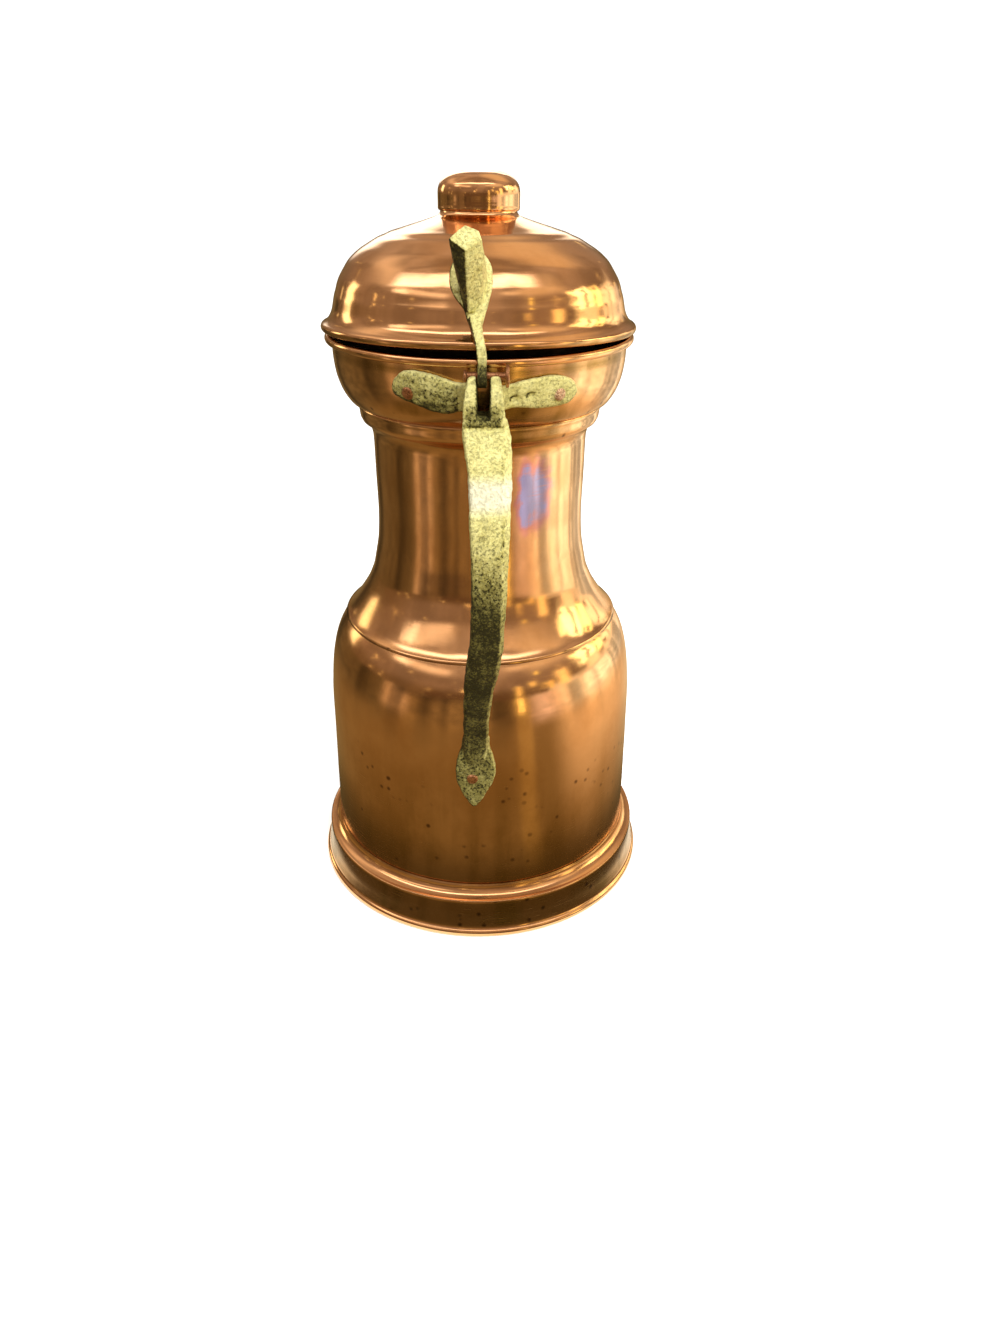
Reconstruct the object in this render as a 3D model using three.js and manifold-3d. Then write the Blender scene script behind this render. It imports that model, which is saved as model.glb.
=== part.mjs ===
// Copper jug with a hinged lid: raised sheet-copper body in five shells with wired edges, and a
// cast brass handle, hinge arm and thumb-piece held by copper rivets.
// Millimetres, +Z up. The origin is on the jug's axis in the plane it stands on. The handle and
// the hinge are on the -Y side.

import * as THREE from 'three';
import { mergeVertices } from 'three/addons/utils/BufferGeometryUtils.js';
import { ConvexGeometry } from 'three/addons/geometries/ConvexGeometry.js';
import Module from 'manifold-3d';

const wasm = await Module();
wasm.setup();

// Sheet, fits and smoothness

const SHEET = 0.8; // copper sheet of the body
const LID_SHEET = 0.7; // thinner copper sheet of the lid
const BASE_SHEET = 1.0; // thicker sheet of the base
const GAP = 0.3; // clearance wherever two pieces meet
const LAP = SHEET + GAP; // how far one shell lies under the next in a lap joint
const FACETS = 32; // flats around the jug
const ROUND_FACETS = 12; // flats around rivets, pin and holes
const WIRE_FACETS = 6; // flats around a wire's section
const CURL_STEPS = 6; // steps around a wired edge
const FOOT_CURL = [-230, 50]; // degrees between which the foot's edge is curled
const FOOT_CURL_STEPS = 7; // an odd number, so that the jug stands on a flat
const REACH = 400; // longer than anything that a cutting tool has to pass through

// Foot

const FOOT_RADIUS = 82.5; // outermost point of the foot's wired edge
const FOOT_BEAD = 2.2; // outer radius of that edge's curl
const BASE_HEIGHT = 1.5; // the base's underside above the plane the jug stands on
const BASE_RIM_HEIGHT = 12; // top of the base's upturned rim
const BASE_EDGE = 2; // how far in and up the base's edge is turned
const LEDGE_SETBACK = 3.1; // from the foot's outermost point in to the ledge's sharp edge
const LEDGE_HEIGHT = 19.4;
const LEDGE_FILLET = 5.6; // radius of the hollow between the ledge and the wall
const SKIRT_FLARE = 0.8; // how far the skirt leans out from the ledge to the flare
const FLARE_HEIGHT = 8; // where the skirt turns out to the wired edge
const FOOT_COLLAR = 8; // height of the foot's collar inside the wall

// Body wall and shoulder, out and up from the wall's foot

const WALL_SIDE = [[0, 0], [-0.4, 40.7]];
const WALL_SHOULDER = [[-1, 72.7], [-1.9, 85.2], [-3.6, 94.5], [-6.2, 102.5], [-9.2, 108.3]];

// Neck shell, out and up from the end of the shoulder: the flared foot, the waist, the step and the
// socket that takes the mouth bowl

const NECK_FLARE = [[-1.9, 3.5], [-5.3, 7.3], [-8.8, 12.4], [-12.2, 19], [-14.8, 25.4]];
const NECK_WAIST = [[-17, 36.9], [-18.1, 52.4], [-18, 71.4], [-17.7, 84.4]];
const NECK_STEP = [[-16.7, 90], [-14.7, 92.8]];
const SOCKET = [[-13.1, 94.6], [-12.2, 97.6], [-11.3, 100.6]];

// Mouth bowl, out and up from the lip of the socket, and its wired rim

const BOWL_FOOT = [[2.1, 1.7], [4.2, 4.4], [6.4, 8.4]];
const BOWL_WALL = [[7.9, 12.8], [8.7, 17.3], [9, 21.8]];
const RIM_BEAD = 1.85; // outer radius of the rim's curl
const RIM_RISE = 5.3; // from the end of the bowl's curve up to the wire in the rim

// Lid: radii as shares of the lid's radius, heights from the centre of its own wired edge

const LID_OVERHANG = 0.75; // how far the lid's edge stands out past the rim
const LID_BEAD = 1.5;
const LID_FLANGE = [[0.951, 3.4], [0.932, 5.7], [0.919, 8.8]];
const LID_DOME = [[0.907, 11.9], [0.881, 16.7], [0.834, 22], [0.764, 27.1], [0.675, 31.2]];
const LID_CROWN = [[0.546, 34.8], [0.409, 37.5], [0.282, 40.1]];
const LID_TILT = 1.45; // degrees that the hinge side rides up, because the arm holds it there
const LID_ROLL = 0.2; // degrees that the left side rides up
const LID_SHIFT = -0.3; // the lid's play to the left
const LID_REST = 0.32; // gap to the rim where the tilted lid comes nearest to it

// Knob, a cap pressed over a short chimney at the lid's crown: radii as shares of the knob's
// radius, heights from its foot

const KNOB_RADIUS = 16.6;
const KNOB_LIFT = 1.5; // from the end of the crown up to the knob's foot
const KNOB_SIDE = 8; // height of the straight side
const KNOB_SHOULDER = [[0.97, 10], [0.8, 13], [0.48, 15.1]];
const KNOB_HEIGHT = 15.7;
const CHIMNEY_HEIGHT = 6.6; // above the knob's foot

// Hinge

const PIN_REACH = 5.8; // the pin's distance outside the rim
const PIN_DROP = 3.3; // the pin's distance below the wire in the rim
const PIN_RADIUS = 1.5;
const PIN_HEAD_RADIUS = 4.2;
const PIN_HEAD_THICKNESS = 1.2;
const PIN_TAIL_RADIUS = 2.3;
const PIN_TAIL_THICKNESS = 1.1;
const EAR_RADIUS = 3.6; // round top of the ears, about the pin
const EAR_THICKNESS = 5.5;
const SLOT_WIDTH = 4.9;
const SLOT_CENTRE = 1.3;
const SLOT_DEPTH = 14.5; // below the pin
const KNUCKLE_RADIUS = 4.1;
const KNUCKLE_WIDTH = 3.4;
const KNUCKLE_PLAY = 0.35; // between the knuckle and the slot's left face

// Handle, one casting: clevis, two wings on the bowl, strap and a leaf on the wall.
// The clevis, the wings and the strap's upper end are placed out and up from the pin.

const CLEVIS_FRONT = [[6.2, -7.2], [7.2, -17.5]];
const CLEVIS_FOOT = [[4, -21.2], [-11, -20.8]];
const CLEVIS_NECK = [[-11, -2.6], [-5.8, -2.6]]; // under the rim, where the ears leave the block
const WING_THICKNESS = 2.9;
const WING_ROOT = 10.5;
const WING_BELLY = 0.6; // how far along a wing it is widest
const WING_SHOULDER = 0.8; // width half way from there to the tip, as a share of the full width
const LEFT_WING = { from: [-3, -9.6], to: [-33.8, -7.4], width: 14.6, rivet: -25.6 };
const RIGHT_WING = { from: [6, -8.9], to: [38, -8.6], width: 12.2, rivet: 28.9 };
const STRAP_TOP = [[3.5, -13.5], [9, -19.6], [22, -36], [32, -56]]; // out and up from the pin
const STRAP_TAIL = [[30.6, 97.3], [24.7, 71.8], [13.7, 42.8], [5.2, 20.8], [3.8, 11.3]]; // from the rivet
const STRAP_STEPS = 16;
const STRAP_WIDTHS = [18.7, 16.4, 13.8, 13.4, 11.2]; // from the clevis to the leaf
const STRAP_CENTRES = [2.3, 3.7, 3.2, 0.7, -2.1];
const STRAP_THICKNESSES = [4.8, 4.6, 4.4, 4, 2.6];
const STRAP_BEVEL = 2.6; // how far the right edge is bevelled back
const STRAP_CHAMFER = 0.6; // the other edges
const LEAF_RIVET = [-3.5, 60.4]; // sideways place, and height above the foot of the wall
const LEAF = { top: 21.3, tip: -15.5, centre: -2.1, tipCentre: -3, width: 17.6, root: 10.5 };
const LEAF_BELLY = 0.5;
const LEAF_SHOULDER = 0.68;
const LEAF_THICKNESS = 2.4;

// Hinge arm, one casting: knuckle, stem, leaf pad on the dome and the thumb-piece.
// The thumb-piece's corners are given sideways, out from the lid's edge, and up from its wire.

const PAD = { top: 30, tip: 5, centre: -3.2, tipCentre: -1.6, width: 16, root: 6 };
const PAD_THICKNESS = 2.2;
const PAD_RIVETS = [[2.2, 17.6], [-7.6, 17.6]]; // sideways place and height in the lid
const STEM_LINE = [[0, 0], [0.3, 5], [-0.4, 10], [-3.2, 14.6], [-7.6, 19]]; // out and up from the pin
const STEM_WIDTHS = [3.4, 3.5, 3.6, 4.4, 5.2];
const STEM_DRIFT = [0, 0, 0, -1.2, -2.2]; // it leans to the left once it is clear of the slot
const STEM_THICKNESS = 3.6;
const THUMB_ROOT = [[-4.6, -5, 12.4], [0, -5, 12.4], [-6.8, -8, 20], [-0.6, -8, 20]];
const THUMB_RIDGE = [-2.2, -1.8, 10.6];
const THUMB_HEAD = [[-4.6, 8.8, 32.3], [-10.4, 5, 35.8], [1.2, 5.4, 35.8]];
const THUMB_CREST = [[-4.8, 1, 39.9], [0.1, 2, 38.2]];
const THUMB_BACK = [[-9.2, 1.6, 28.8], [0.4, 1.8, 28.6], [-8.2, -2.6, 29.4], [-1.4, -2.6, 29.4]];

// Rivets: shank, outer head and the head peened over inside

const RIVET = { shank: 1.8, head: 2.7, headHeight: 1.2, tail: 3.1, tailHeight: 1 };
const PAD_RIVET = { shank: 1.3, head: 1.7, headHeight: 0.5, tail: 2.6, tailHeight: 0.9 };
const HOLE_LENGTH = 12; // of the tool that cuts a rivet's hole

// Finishes

const COPPER = { color: 0xc98a5c, roughness: 0.22, metalness: 1 };
const RIVET_COPPER = { color: 0xb0694a, roughness: 0.45, metalness: 1 };
const BRASS = { color: 0xb9b470, roughness: 0.5, metalness: 1 };
const IRON = { color: 0x4a4744, roughness: 0.6, metalness: 1 };

// Paths in the plane of a profile: x is the radius or the distance out, y is the height

const toPath = (pairs) => pairs.map(([across, height]) => new THREE.Vector2(across, height));

const smooth = (pairs, steps) => new THREE.SplineCurve(toPath(pairs)).getSpacedPoints(steps);

/** Points on a circle from one angle to another, both ends included. */
function arc(across, height, radius, fromDegrees, toDegrees, steps) {
  return Array.from({ length: steps + 1 }, (_, i) => {
    const angle = THREE.MathUtils.degToRad(fromDegrees + ((toDegrees - fromDegrees) * i) / steps);
    return new THREE.Vector2(across + radius * Math.cos(angle), height + radius * Math.sin(angle));
  });
}

/** The path moved sideways, to the left of its direction of travel where the distance is positive. */
function offset(path, distance) {
  return path.map((point, i) => {
    const before = path[i - 1] ?? point.clone().multiplyScalar(2).sub(path[i + 1]);
    const after = path[i + 1] ?? point.clone().multiplyScalar(2).sub(before);
    const first = point.clone().sub(before).normalize();
    const second = after.clone().sub(point).normalize();
    const middle = first.clone().add(second).normalize();
    const across = new THREE.Vector2(-middle.y, middle.x);
    const stretch = distance / middle.dot(first);
    return point.clone().addScaledVector(across, stretch);
  });
}

/** The value at a share of the way along an evenly spaced list. */
function along(values, share) {
  const place = Math.min(share, 1) * (values.length - 1);
  const index = Math.min(Math.floor(place), values.length - 2);
  return THREE.MathUtils.lerp(values[index], values[index + 1], place - index);
}

/** Radius of a path at a height, read between its points. */
function radiusAt(path, height) {
  const next = Math.max(1, path.findIndex((point) => point.y >= height));
  const [low, high] = [path[next - 1], path[next]];
  return THREE.MathUtils.mapLinear(height, low.y, high.y, low.x, high.x);
}

// Closed meshes

/** A closed outline turned about the jug's axis. */
function revolve(outline, facets = FACETS) {
  return new THREE.LatheGeometry(outline, facets).rotateX(Math.PI / 2);
}

/** A shell of even thickness behind a path, turned about the axis. */
function shell(path, thickness, facets = FACETS) {
  return revolve([...path, ...offset(path, thickness).reverse(), path[0]], facets);
}

/** A solid from the axis out to a path. */
function core(path, facets = FACETS) {
  const foot = new THREE.Vector2(0, path[0].y);
  const head = new THREE.Vector2(0, path[path.length - 1].y);
  return revolve([foot, ...path, head], facets);
}

/** A wire ring with a round section. */
function wire(across, height, radius) {
  return revolve(arc(across, height, radius, 0, -360, WIRE_FACETS));
}

/** A flat shape given as distance out and height, thickened sideways between two places. */
function sideways(points, left, right) {
  const thick = new THREE.ExtrudeGeometry(new THREE.Shape(points), { depth: right - left, bevelEnabled: false });
  const axes = new THREE.Matrix4().makeBasis(
    new THREE.Vector3(0, -1, 0), new THREE.Vector3(0, 0, 1), new THREE.Vector3(-1, 0, 0),
  );
  return thick.applyMatrix4(axes.setPosition(right, 0, 0));
}

/** A flat outline seen from the front, thickened from the axis towards the handle side. */
function forwards(points) {
  const thick = new THREE.ExtrudeGeometry(new THREE.Shape(points), { depth: REACH, bevelEnabled: false });
  return thick.rotateX(Math.PI / 2);
}

/** A round bar along X, between two places. */
function crossBar(radius, left, right, out, height) {
  return new THREE.CylinderGeometry(radius, radius, right - left, ROUND_FACETS)
    .rotateZ(Math.PI / 2)
    .translate((left + right) / 2, -out, height);
}

/** Rings of equally many points joined into a tube with flat ends. */
function loft(rings) {
  const sides = rings[0].length;
  const faces = [];
  for (let ring = 0; ring + 1 < rings.length; ring += 1) {
    for (let side = 0; side < sides; side += 1) {
      const [a, b] = [ring * sides + side, ring * sides + ((side + 1) % sides)];
      faces.push(a, b, b + sides, a, b + sides, a + sides);
    }
  }
  const last = (rings.length - 1) * sides;
  for (let side = 1; side + 1 < sides; side += 1) {
    faces.push(0, side + 1, side, last, last + side, last + side + 1);
  }
  return new THREE.BufferGeometry().setFromPoints(rings.flat()).setIndex(faces);
}

// Solids for cutting and joining

/** The solid inside a closed mesh. */
function solidOf(geometry) {
  const bare = geometry.clone();
  bare.deleteAttribute('normal');
  bare.deleteAttribute('uv');
  const merged = mergeVertices(bare);
  const places = merged.attributes.position;
  const corners = merged.index.array;
  const [a, b, c] = [new THREE.Vector3(), new THREE.Vector3(), new THREE.Vector3()];
  const faces = [];
  let volume = 0;
  for (let i = 0; i < corners.length; i += 3) {
    const face = [corners[i], corners[i + 1], corners[i + 2]];
    if (new Set(face).size === 3) {
      [a, b, c].forEach((corner, k) => corner.fromBufferAttribute(places, face[k]));
      volume += a.dot(b.cross(c));
      faces.push(face);
    }
  }
  const outward = faces.map(([i, j, k]) => (volume > 0 ? [i, j, k] : [i, k, j]));
  const mesh = new wasm.Mesh({
    numProp: 3,
    vertProperties: new Float32Array(places.array),
    triVerts: new Uint32Array(outward.flat()),
  });
  return new wasm.Manifold(mesh);
}

const join = (...geometries) => geometries.map(solidOf).reduce((whole, piece) => whole.add(piece));

const cut = (whole, ...tools) => tools.map(solidOf).reduce((rest, tool) => rest.subtract(tool), whole);

/** A solid as a named mesh with its finish. */
function piece(name, solid, finish) {
  const mesh = solid.getMesh();
  const geometry = new THREE.BufferGeometry();
  geometry.setAttribute('position', new THREE.BufferAttribute(new Float32Array(mesh.vertProperties), 3));
  geometry.setIndex(new THREE.BufferAttribute(new Uint32Array(mesh.triVerts), 1));
  geometry.computeVertexNormals();
  const named = new THREE.Mesh(geometry, new THREE.MeshStandardMaterial(finish));
  named.name = name;
  return named;
}

// Profiles that more than one piece is made from, each starting where the one below it ends

/** Pairs moved out and up to where their piece stands. */
const placed = (pairs, start) => pairs.map(([out, up]) => [start.x + out, start.y + up]);

const footCurlStep = THREE.MathUtils.degToRad(FOOT_CURL[1] - FOOT_CURL[0]) / FOOT_CURL_STEPS;
const footWire = new THREE.Vector2(FOOT_RADIUS - FOOT_BEAD, FOOT_BEAD * Math.cos(footCurlStep / 2));
const ledge = new THREE.Vector2(FOOT_RADIUS - LEDGE_SETBACK, LEDGE_HEIGHT);
const wallFoot = new THREE.Vector2(ledge.x - LEDGE_FILLET, ledge.y + LEDGE_FILLET + GAP);
const wallPath = [
  ...toPath(placed(WALL_SIDE, wallFoot)),
  ...smooth(placed(WALL_SHOULDER, wallFoot), 5),
];
const neckPath = [
  ...smooth(placed([...NECK_FLARE, ...NECK_WAIST], wallPath.at(-1)), 7),
  ...toPath(placed([...NECK_STEP, ...SOCKET], wallPath.at(-1))),
];
const bowlPath = [
  ...offset(neckPath.slice(-SOCKET.length), LAP),
  ...smooth(placed([...BOWL_FOOT, ...BOWL_WALL], neckPath.at(-1)), 4),
];
const rimWire = bowlPath.at(-1).clone().add(new THREE.Vector2(RIM_BEAD - SHEET, RIM_RISE));
const bowlCurl = arc(rimWire.x, rimWire.y, RIM_BEAD - SHEET, 180, -100, CURL_STEPS);
const pin = new THREE.Vector2(rimWire.x + RIM_BEAD + PIN_REACH, rimWire.y - PIN_DROP);
const slot = { left: SLOT_CENTRE - SLOT_WIDTH / 2, right: SLOT_CENTRE + SLOT_WIDTH / 2 };
const clevisSides = { left: slot.left - EAR_THICKNESS, right: slot.right + EAR_THICKNESS };

const lidRadius = rimWire.x + RIM_BEAD + LID_OVERHANG;
const domePath = smooth(
  [...LID_FLANGE, ...LID_DOME, ...LID_CROWN].map(([share, height]) => [share * lidRadius, height]),
  8,
);
const knobFoot = domePath.at(-1).y + KNOB_LIFT;

// Leaf outlines and what lies against a shell

/** Outline of a leaf from its root to its tip, as seen from the front. */
function leafOutline({ from, to, width, root }, belly, shoulder) {
  const start = new THREE.Vector2(...from);
  const axis = new THREE.Vector2(...to).sub(start);
  const across = new THREE.Vector2(-axis.y, axis.x).normalize();
  const side = smooth([
    [0, root / 2], [belly * axis.length(), width / 2],
    [((1 + belly) / 2) * axis.length(), (shoulder * width) / 2], [axis.length(), 0],
  ], 9);
  axis.normalize();
  const spot = ({ x, y }, sign) => start.clone().addScaledVector(axis, x).addScaledVector(across, sign * y);
  return [...side.map((p) => spot(p, -1)), ...side.slice(0, -1).reverse().map((p) => spot(p, 1))];
}

/** A plate with the given outline that follows the outside of a shell, one clearance off it. */
function platedOn(path, outline, thickness) {
  return solidOf(forwards(outline)).intersect(solidOf(core(offset(path, -GAP - thickness))));
}

/** The place and direction of a rivet square to the flat of a shell, at a sideways place and a height. */
function rivetSeat(path, across, height) {
  const turn = (2 * Math.PI) / FACETS;
  const middle = (Math.floor(Math.asin(across / radiusAt(path, height)) / turn) + 0.5) * turn;
  const flatAt = (level) => radiusAt(path, level) * Math.cos(turn / 2);
  const flat = flatAt(height);
  const aside = (across - flat * Math.sin(middle)) / Math.cos(middle);
  const out = flat * Math.cos(middle) - aside * Math.sin(middle);
  const slope = (flatAt(height + 1) - flatAt(height - 1)) / 2;
  const place = new THREE.Vector3(across, -out, height);
  const normal = new THREE.Vector3(Math.sin(middle), -Math.cos(middle), -slope).normalize();
  return { place, normal };
}

/** Turns a geometry made along +Y so that it lies along a rivet's direction. */
function seated(geometry, { place, normal }) {
  const turn = new THREE.Quaternion().setFromUnitVectors(new THREE.Vector3(0, 1, 0), normal);
  return geometry.applyQuaternion(turn).translate(place.x, place.y, place.z);
}

/** A rivet through a shell and the plate on it, with heights along the rivet from the shell's outside. */
function rivet(size, seat, sheet, plate) {
  const top = GAP + plate + GAP;
  const foot = -sheet - GAP;
  const outline = toPath([
    [0, foot - size.tailHeight], [size.tail * 0.8, foot - size.tailHeight], [size.tail, foot],
    [size.shank, foot], [size.shank, top], [size.head, top],
    [size.head * 0.75, top + size.headHeight * 0.8], [0, top + size.headHeight],
  ]);
  return solidOf(seated(new THREE.LatheGeometry(outline, ROUND_FACETS), seat));
}

const rivetHole = (size, seat) =>
  seated(new THREE.CylinderGeometry(size.shank + GAP, size.shank + GAP, HOLE_LENGTH, ROUND_FACETS), seat);

/** A wing's ends moved from the pin's height to their place on the jug. */
const atPin = (wing) => ({
  ...wing,
  from: [wing.from[0], pin.y + wing.from[1]],
  to: [wing.to[0], pin.y + wing.to[1]],
});

const bowlOutside = [...bowlPath, new THREE.Vector2(bowlPath.at(-1).x, rimWire.y)];
const wallOutside = wallPath.slice(0, -1);
const wings = [LEFT_WING, RIGHT_WING].map(atPin);
const wingSeats = wings.map(({ from, to, rivet: across }) => {
  const share = (across - from[0]) / (to[0] - from[0]);
  return rivetSeat(bowlOutside, across, THREE.MathUtils.lerp(from[1], to[1], share));
});
const leafSeat = rivetSeat(wallOutside, LEAF_RIVET[0], wallFoot.y + LEAF_RIVET[1]);
const padSeats = PAD_RIVETS.map(([across, height]) => rivetSeat(domePath, across, height));

// Body of the jug

function basePlate() {
  const rim = footWire.x - FOOT_BEAD - GAP;
  const underside = toPath([
    [0, BASE_HEIGHT], [rim - BASE_EDGE, BASE_HEIGHT], [rim, BASE_HEIGHT + BASE_EDGE], [rim, BASE_RIM_HEIGHT],
  ]);
  const inside = offset(underside, BASE_SHEET).slice(1).reverse();
  return solidOf(revolve([...underside, ...inside, new THREE.Vector2(0, BASE_HEIGHT + BASE_SHEET)]));
}

function footRing() {
  const collar = wallFoot.x - LAP;
  const skirt = [
    ...arc(footWire.x, footWire.y, FOOT_BEAD, ...FOOT_CURL, FOOT_CURL_STEPS),
    new THREE.Vector2(ledge.x + SKIRT_FLARE, FLARE_HEIGHT),
    ...arc(ledge.x, ledge.y + LEDGE_FILLET, LEDGE_FILLET, 270, 184, 3),
    ...toPath([[collar, wallFoot.y], [collar, wallFoot.y + FOOT_COLLAR]]),
  ];
  return solidOf(shell(skirt, SHEET));
}

function lowerBody() {
  const underNeck = offset(neckPath.slice(0, 2), LAP);
  return cut(solidOf(shell([...wallPath, ...underNeck], SHEET)), rivetHole(RIVET, leafSeat));
}

const neckShell = () => solidOf(shell(neckPath, SHEET));

function mouthBowl() {
  const whole = solidOf(shell([...bowlPath, ...bowlCurl], SHEET));
  return cut(whole, ...wingSeats.map((seat) => rivetHole(RIVET, seat)));
}

// Handle casting

function clevis() {
  const ear = arc(pin.x, pin.y, EAR_RADIUS, 195, 0, 8);
  const [front, foot, neck] = [CLEVIS_FRONT, CLEVIS_FOOT, CLEVIS_NECK].map((pairs) => placed(pairs, pin));
  const side = [...toPath([foot.at(-1), ...neck]), ...ear, ...toPath([...front, foot[0]])];
  return sideways(side, clevisSides.left, clevisSides.right);
}

function strap() {
  const rivetSpot = new THREE.Vector2(radiusAt(wallOutside, leafSeat.place.z), leafSeat.place.z);
  const line = smooth([...placed(STRAP_TOP, pin), ...placed(STRAP_TAIL, rivetSpot)], STRAP_STEPS);
  const inside = offset(line, -1);
  const rings = line.map((outer, i) => {
    const share = i / STRAP_STEPS;
    const half = along(STRAP_WIDTHS, share) / 2;
    const [left, right] = [along(STRAP_CENTRES, share) - half, along(STRAP_CENTRES, share) + half];
    const thickness = along(STRAP_THICKNESSES, share);
    const bevel = STRAP_BEVEL * (1 - share / 2);
    const spot = (across, depth) => {
      const { x, y } = outer.clone().lerp(inside[i], depth * thickness);
      return new THREE.Vector3(across, -x, y);
    };
    return [
      spot(left + STRAP_CHAMFER, 0), spot(right - bevel, 0), spot(right, 0.6),
      spot(right - STRAP_CHAMFER, 1), spot(left + STRAP_CHAMFER, 1), spot(left, 0.5),
    ];
  });
  return loft(rings);
}

function leafPlate() {
  const rivetHeight = leafSeat.place.z;
  const outline = leafOutline({
    from: [LEAF.centre, rivetHeight + LEAF.top],
    to: [LEAF.tipCentre, rivetHeight + LEAF.tip],
    width: LEAF.width,
    root: LEAF.root,
  }, LEAF_BELLY, LEAF_SHOULDER);
  return platedOn(wallOutside, outline, LEAF_THICKNESS);
}

function handle() {
  const plates = wings.map((wing) =>
    platedOn(bowlOutside, leafOutline({ ...wing, root: WING_ROOT }, WING_BELLY, WING_SHOULDER), WING_THICKNESS));
  const whole = [...plates, leafPlate()].reduce((sum, plate) => sum.add(plate), join(clevis(), strap()));
  const slotTool = new THREE.BoxGeometry(SLOT_WIDTH, REACH, SLOT_DEPTH + REACH)
    .translate(SLOT_CENTRE, -REACH / 2, pin.y - SLOT_DEPTH + (SLOT_DEPTH + REACH) / 2);
  return cut(
    whole,
    core(offset(bowlOutside, -GAP)),
    core(offset(wallOutside, -GAP)),
    slotTool,
    crossBar(PIN_RADIUS + GAP, clevisSides.left - GAP, clevisSides.right + GAP, pin.x, pin.y),
    ...wingSeats.map((seat) => rivetHole(RIVET, seat)),
    rivetHole(RIVET, leafSeat),
  );
}

function hingePin() {
  const [left, right] = [clevisSides.left - GAP, clevisSides.right + GAP];
  const outline = toPath([
    [0, left - PIN_TAIL_THICKNESS], [PIN_TAIL_RADIUS * 0.8, left - PIN_TAIL_THICKNESS], [PIN_TAIL_RADIUS, left],
    [PIN_RADIUS, left], [PIN_RADIUS, right], [PIN_HEAD_RADIUS, right],
    [PIN_HEAD_RADIUS, right + PIN_HEAD_THICKNESS], [0, right + PIN_HEAD_THICKNESS],
  ]);
  const turned = new THREE.LatheGeometry(outline, ROUND_FACETS).rotateZ(-Math.PI / 2);
  return solidOf(turned.translate(0, -pin.x, pin.y));
}

// Lid, in its own frame: the origin is at the centre of its wired edge

const lidWire = new THREE.Vector2(lidRadius - LID_BEAD, 0);
const lidLean = Math.hypot(LID_TILT, LID_ROLL);
const lidDrop = LID_BEAD + lidWire.x * Math.sin(THREE.MathUtils.degToRad(lidLean));
const lid = new THREE.Group();
lid.position.set(LID_SHIFT, 0, rimWire.y + RIM_BEAD + LID_REST + lidDrop);
lid.rotation.set(THREE.MathUtils.degToRad(-LID_TILT), THREE.MathUtils.degToRad(LID_ROLL), 0);
lid.updateMatrix();
const knuckleCentre = slot.left + KNUCKLE_PLAY + KNUCKLE_WIDTH / 2;
const pinInLid = new THREE.Vector3(knuckleCentre, -pin.x, pin.y).applyMatrix4(lid.matrix.clone().invert());

function lidDome() {
  const chimney = KNOB_RADIUS - LID_SHEET - GAP;
  const path = [
    ...arc(lidWire.x, lidWire.y, LID_BEAD, -190, 45, CURL_STEPS),
    ...domePath,
    ...toPath([[chimney, knobFoot - GAP], [chimney, knobFoot + CHIMNEY_HEIGHT]]),
  ];
  return cut(solidOf(shell(path, LID_SHEET)), ...padSeats.map((seat) => rivetHole(PAD_RIVET, seat)));
}

function knobCap() {
  const shoulder = KNOB_SHOULDER.map(([share, height]) => [share * KNOB_RADIUS, knobFoot + height]);
  const top = knobFoot + KNOB_HEIGHT;
  const path = [
    ...toPath([[KNOB_RADIUS, knobFoot], [KNOB_RADIUS, knobFoot + KNOB_SIDE]]),
    ...smooth(shoulder, 3),
    new THREE.Vector2(0, top),
  ];
  const inside = offset(path, LID_SHEET).slice(0, -1).reverse();
  return solidOf(revolve([...path, new THREE.Vector2(0, top - LID_SHEET), ...inside, path[0]]));
}

/** The arm's stem, from the knuckle over the lid's wired edge to the foot of the pad. */
function stem() {
  const steps = STEM_LINE.length - 1;
  const line = STEM_LINE.map(([out, up]) => new THREE.Vector2(-pinInLid.y + out, pinInLid.z + up));
  const [front, back] = [1, -1].map((sign) => offset(line, (-sign * STEM_THICKNESS) / 2));
  const rings = line.map((_, i) => {
    const across = pinInLid.x + along(STEM_DRIFT, i / steps);
    const half = along(STEM_WIDTHS, i / steps) / 2;
    const place = (sign, { x, y }) => new THREE.Vector3(across + sign * half, -x, y);
    return [place(-1, front[i]), place(1, front[i]), place(1, back[i]), place(-1, back[i])];
  });
  return loft(rings);
}

function thumbPiece() {
  const corners = [...THUMB_ROOT, THUMB_RIDGE, ...THUMB_HEAD, ...THUMB_CREST, ...THUMB_BACK];
  const place = ([across, out, up]) => new THREE.Vector3(across, -lidRadius - out, up);
  return new ConvexGeometry(corners.map(place));
}

function hingeArm() {
  const knuckle = crossBar(
    KNUCKLE_RADIUS, pinInLid.x - KNUCKLE_WIDTH / 2, pinInLid.x + KNUCKLE_WIDTH / 2, -pinInLid.y, pinInLid.z,
  );
  const outline = leafOutline({
    from: [PAD.tipCentre, PAD.tip],
    to: [PAD.centre, PAD.top],
    width: PAD.width,
    root: PAD.root,
  }, WING_BELLY, WING_SHOULDER);
  const pad = platedOn(domePath, outline, PAD_THICKNESS);
  return cut(
    join(knuckle, stem(), thumbPiece()).add(pad),
    core(offset(domePath, -GAP)),
    crossBar(PIN_RADIUS + GAP, pinInLid.x - KNUCKLE_WIDTH, pinInLid.x + KNUCKLE_WIDTH, -pinInLid.y, pinInLid.z),
    ...padSeats.map((seat) => rivetHole(PAD_RIVET, seat)),
  );
}

// Assembly

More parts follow.
